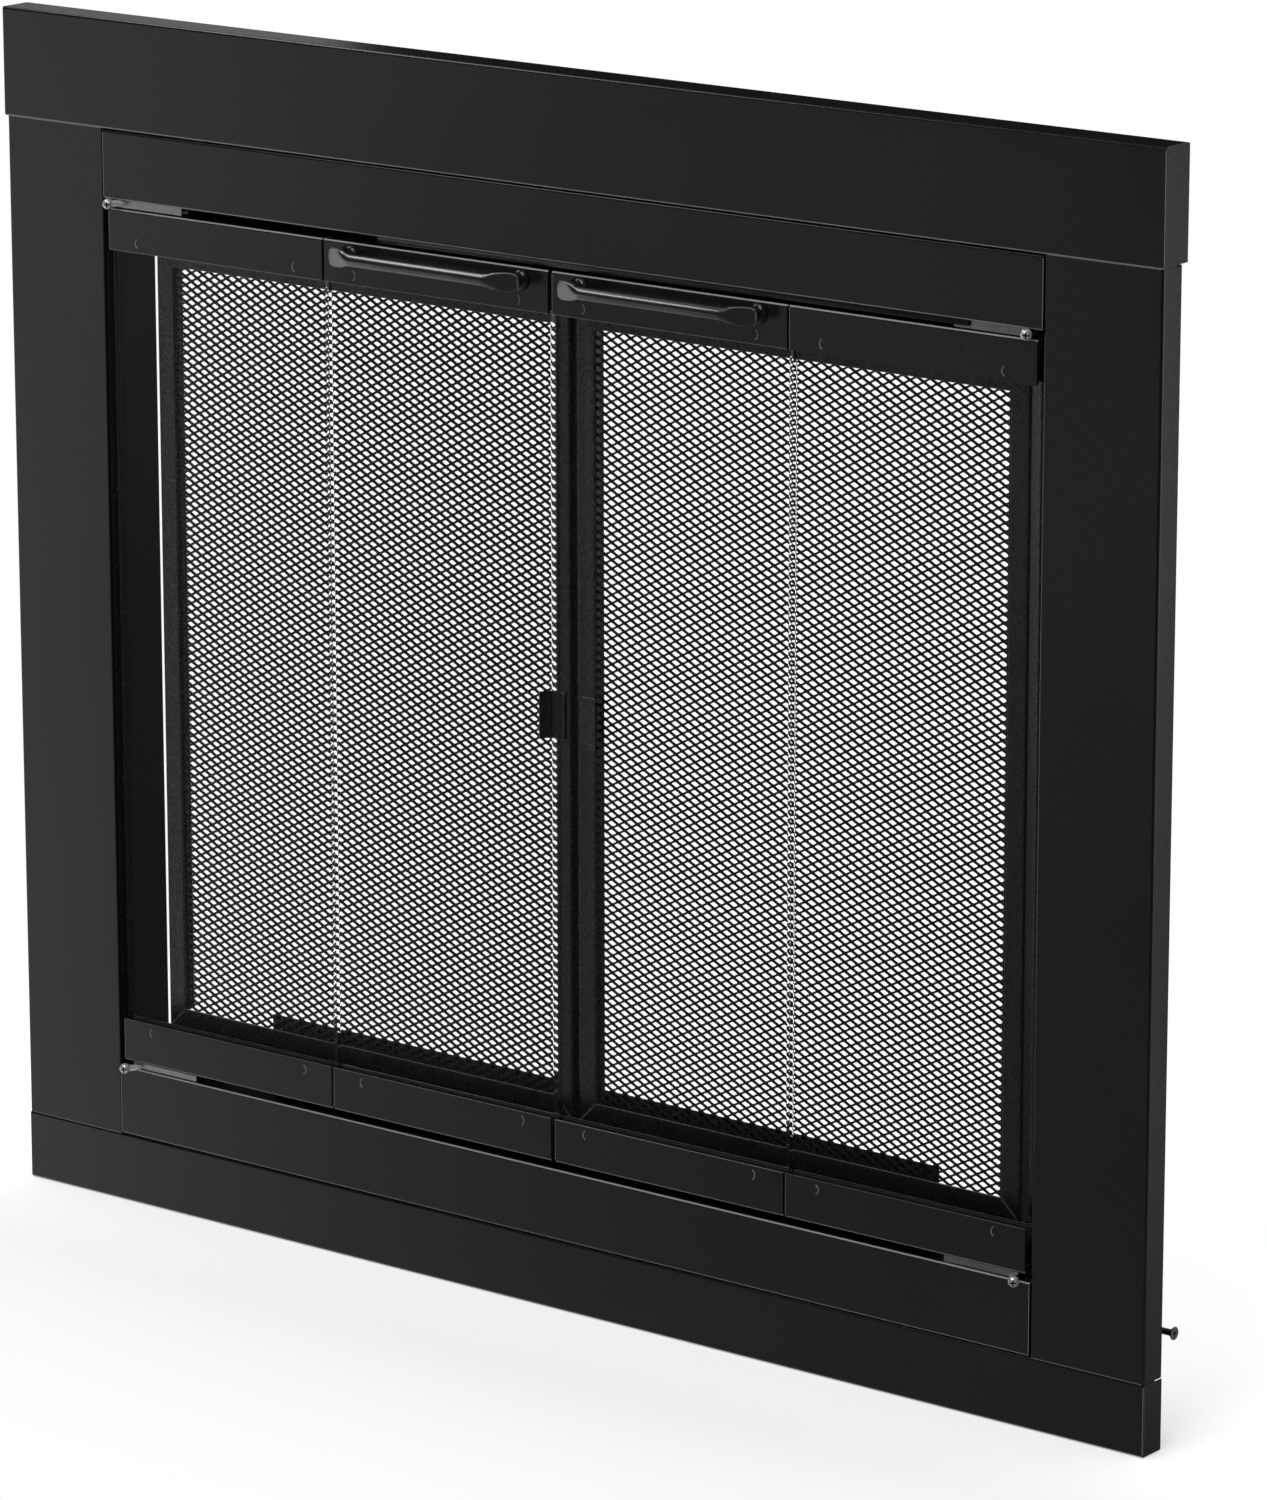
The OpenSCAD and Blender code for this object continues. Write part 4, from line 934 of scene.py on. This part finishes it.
def makeDiamond(p, strand):
    form = bmesh.new()
    bmesh.ops.create_circle(form, cap_ends=True, segments=4, radius=0.5)
    turn(form, form.verts, 90, "X")
    bmesh.ops.scale(form, verts=form.verts, vec=(p["long"], 1, p["short"]))
    rim = list(form.verts)
    bmesh.ops.inset_individual(form, faces=form.faces[:], thickness=min(strand) / 2, use_even_offset=True)
    inner = [v for v in form.verts if v not in rim]
    # each side of the hole moves out to its own strand's width
    across, upright = p["long"] / 2, p["short"] / 2
    reach = across * upright / math.hypot(across, upright)
    fall, rise = [1 - width / 2 / reach for width in strand]
    for v in inner:
        a = math.copysign(fall, v.co.x / across + v.co.z / upright)
        b = math.copysign(rise, v.co.z / upright - v.co.x / across)
        v.co.x, v.co.z = across * (a - b) / 2, upright * (a + b) / 2
    hole = [f for f in form.faces if all(v in inner for v in f.verts)]
    bmesh.ops.delete(form, geom=hole, context="FACES_ONLY")
    bmesh.ops.bevel(form, geom=inner, affect="VERTICES", offset=p["corner"], segments=1, profile=0.5,
                    material=-1, clamp_overlap=True)
    for v in form.verts:
        if v not in rim:
            v.co.y -= p["tilt"] * v.co.z / upright
    made = bmesh.ops.extrude_face_region(form, geom=form.faces[:], use_keep_orig=True)
    moved = [v for v in made["geom"] if isinstance(v, bmesh.types.BMVert)]
    shift(form, moved, y=p["sheet"])
    # the outer walls would lie inside the joined net
    bmesh.ops.delete(form, geom=[f for f in form.faces if isOuterWall(f, p)], context="FACES_ONLY")
    shift(form, form.verts, y=-p["sheet"] / 2)
    return form


def makeNet(p, strand, rows, bottom):
    diamond = makeDiamond(p, strand)
    unit = bpy.data.meshes.new("unit")
    diamond.to_mesh(unit)
    diamond.free()
    # two diamonds, half a step apart, are repeated across and upwards
    net = bmesh.new()
    net.from_mesh(unit)
    shift(net, net.verts, p["long"] / 2, 0, p["short"] / 2)
    first = list(net.verts)
    net.from_mesh(unit)
    shift(net, [v for v in net.verts if v not in first], p["long"], 0, p["short"])
    pair = bpy.data.meshes.new("pair")
    net.to_mesh(pair)
    net.free()
    carrier = bpy.data.objects.new("carrier", pair)
    scene.collection.objects.link(carrier)
    for axis, count, step in ((0, p["columns"], p["long"]), (2, rows, p["short"])):
        array = carrier.modifiers.new("row%d" % axis, "ARRAY")
        array.use_relative_offset = False
        array.use_constant_offset = True
        array.constant_offset_displace = [step if i == axis else 0 for i in range(3)]
        array.count = count
    done = bmesh.new()
    done.from_object(carrier, bpy.context.evaluated_depsgraph_get())
    bpy.data.objects.remove(carrier)
    bmesh.ops.remove_doubles(done, verts=done.verts, dist=p["weld"])
    bmesh.ops.delete(done, geom=[e for e in done.edges if e.is_wire], context="EDGES")
    # close the cut edge all round
    bmesh.ops.bridge_loops(done, edges=[e for e in done.edges if e.is_boundary])
    shift(done, done.verts, p["left"], p["depth"], bottom)
    return done


def makeScreens(p):
    lower = p["rows"] // 2
    for side, sign in bothSides:
        for name, rows, bottom in (("Lower", lower, p["bottom"]),
                                   ("Upper", p["rows"] - lower, p["bottom"] + lower * p["short"])):
            net = makeNet(p, p["strand"][side], rows, bottom)
            if sign < 0:
                bmesh.ops.scale(net, verts=net.verts, vec=(-1, 1, 1))
            bmesh.ops.recalc_face_normals(net, faces=net.faces)
            keepPiece(side + "Screen" + name, net, "gate_paint", side + "_mesh",
                                   finish=strandFinish)
        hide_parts(side + "_mesh_screen")


makeScreens(screen)
print("screens are made")


# upright edge of each gate door's window, turned back behind the screen

windowTurn = {
    "edges": (0.0173, 0.3476),    # from the middle of the pair
    "thick": 0.0015,
    "front": 0.0141, "back": 0.0222,
    "low": 0.1408, "high": 0.6691,
    "round": 0.0006,
    "upright": 0.1,               # only edges longer than this, at the front, are rounded
    "segments": 4,
    "smooth": 30,
}


def makeWindowTurns(p):
    for side, sign in bothSides:
        form = bmesh.new()
        inner, outer = p["edges"]
        for x0, x1 in ((inner, inner + p["thick"]), (outer - p["thick"], outer)):
            x0, x1 = sorted((sign * x0, sign * x1))
            block(form, (x0, p["front"], p["low"]), (x1, p["back"], p["high"]))
        front = [e for e in form.edges if all(v.co.y < p["front"] + weld for v in e.verts)
                 and abs(e.verts[0].co.z - e.verts[1].co.z) > p["upright"]]
        roundEdges(form, front, p["round"], p["segments"])
        keepPiece(side + "WindowTurns", form, "gate_paint", side + "_mesh", p["smooth"], strandFinish)


makeWindowTurns(windowTurn)
print("window turns are made")
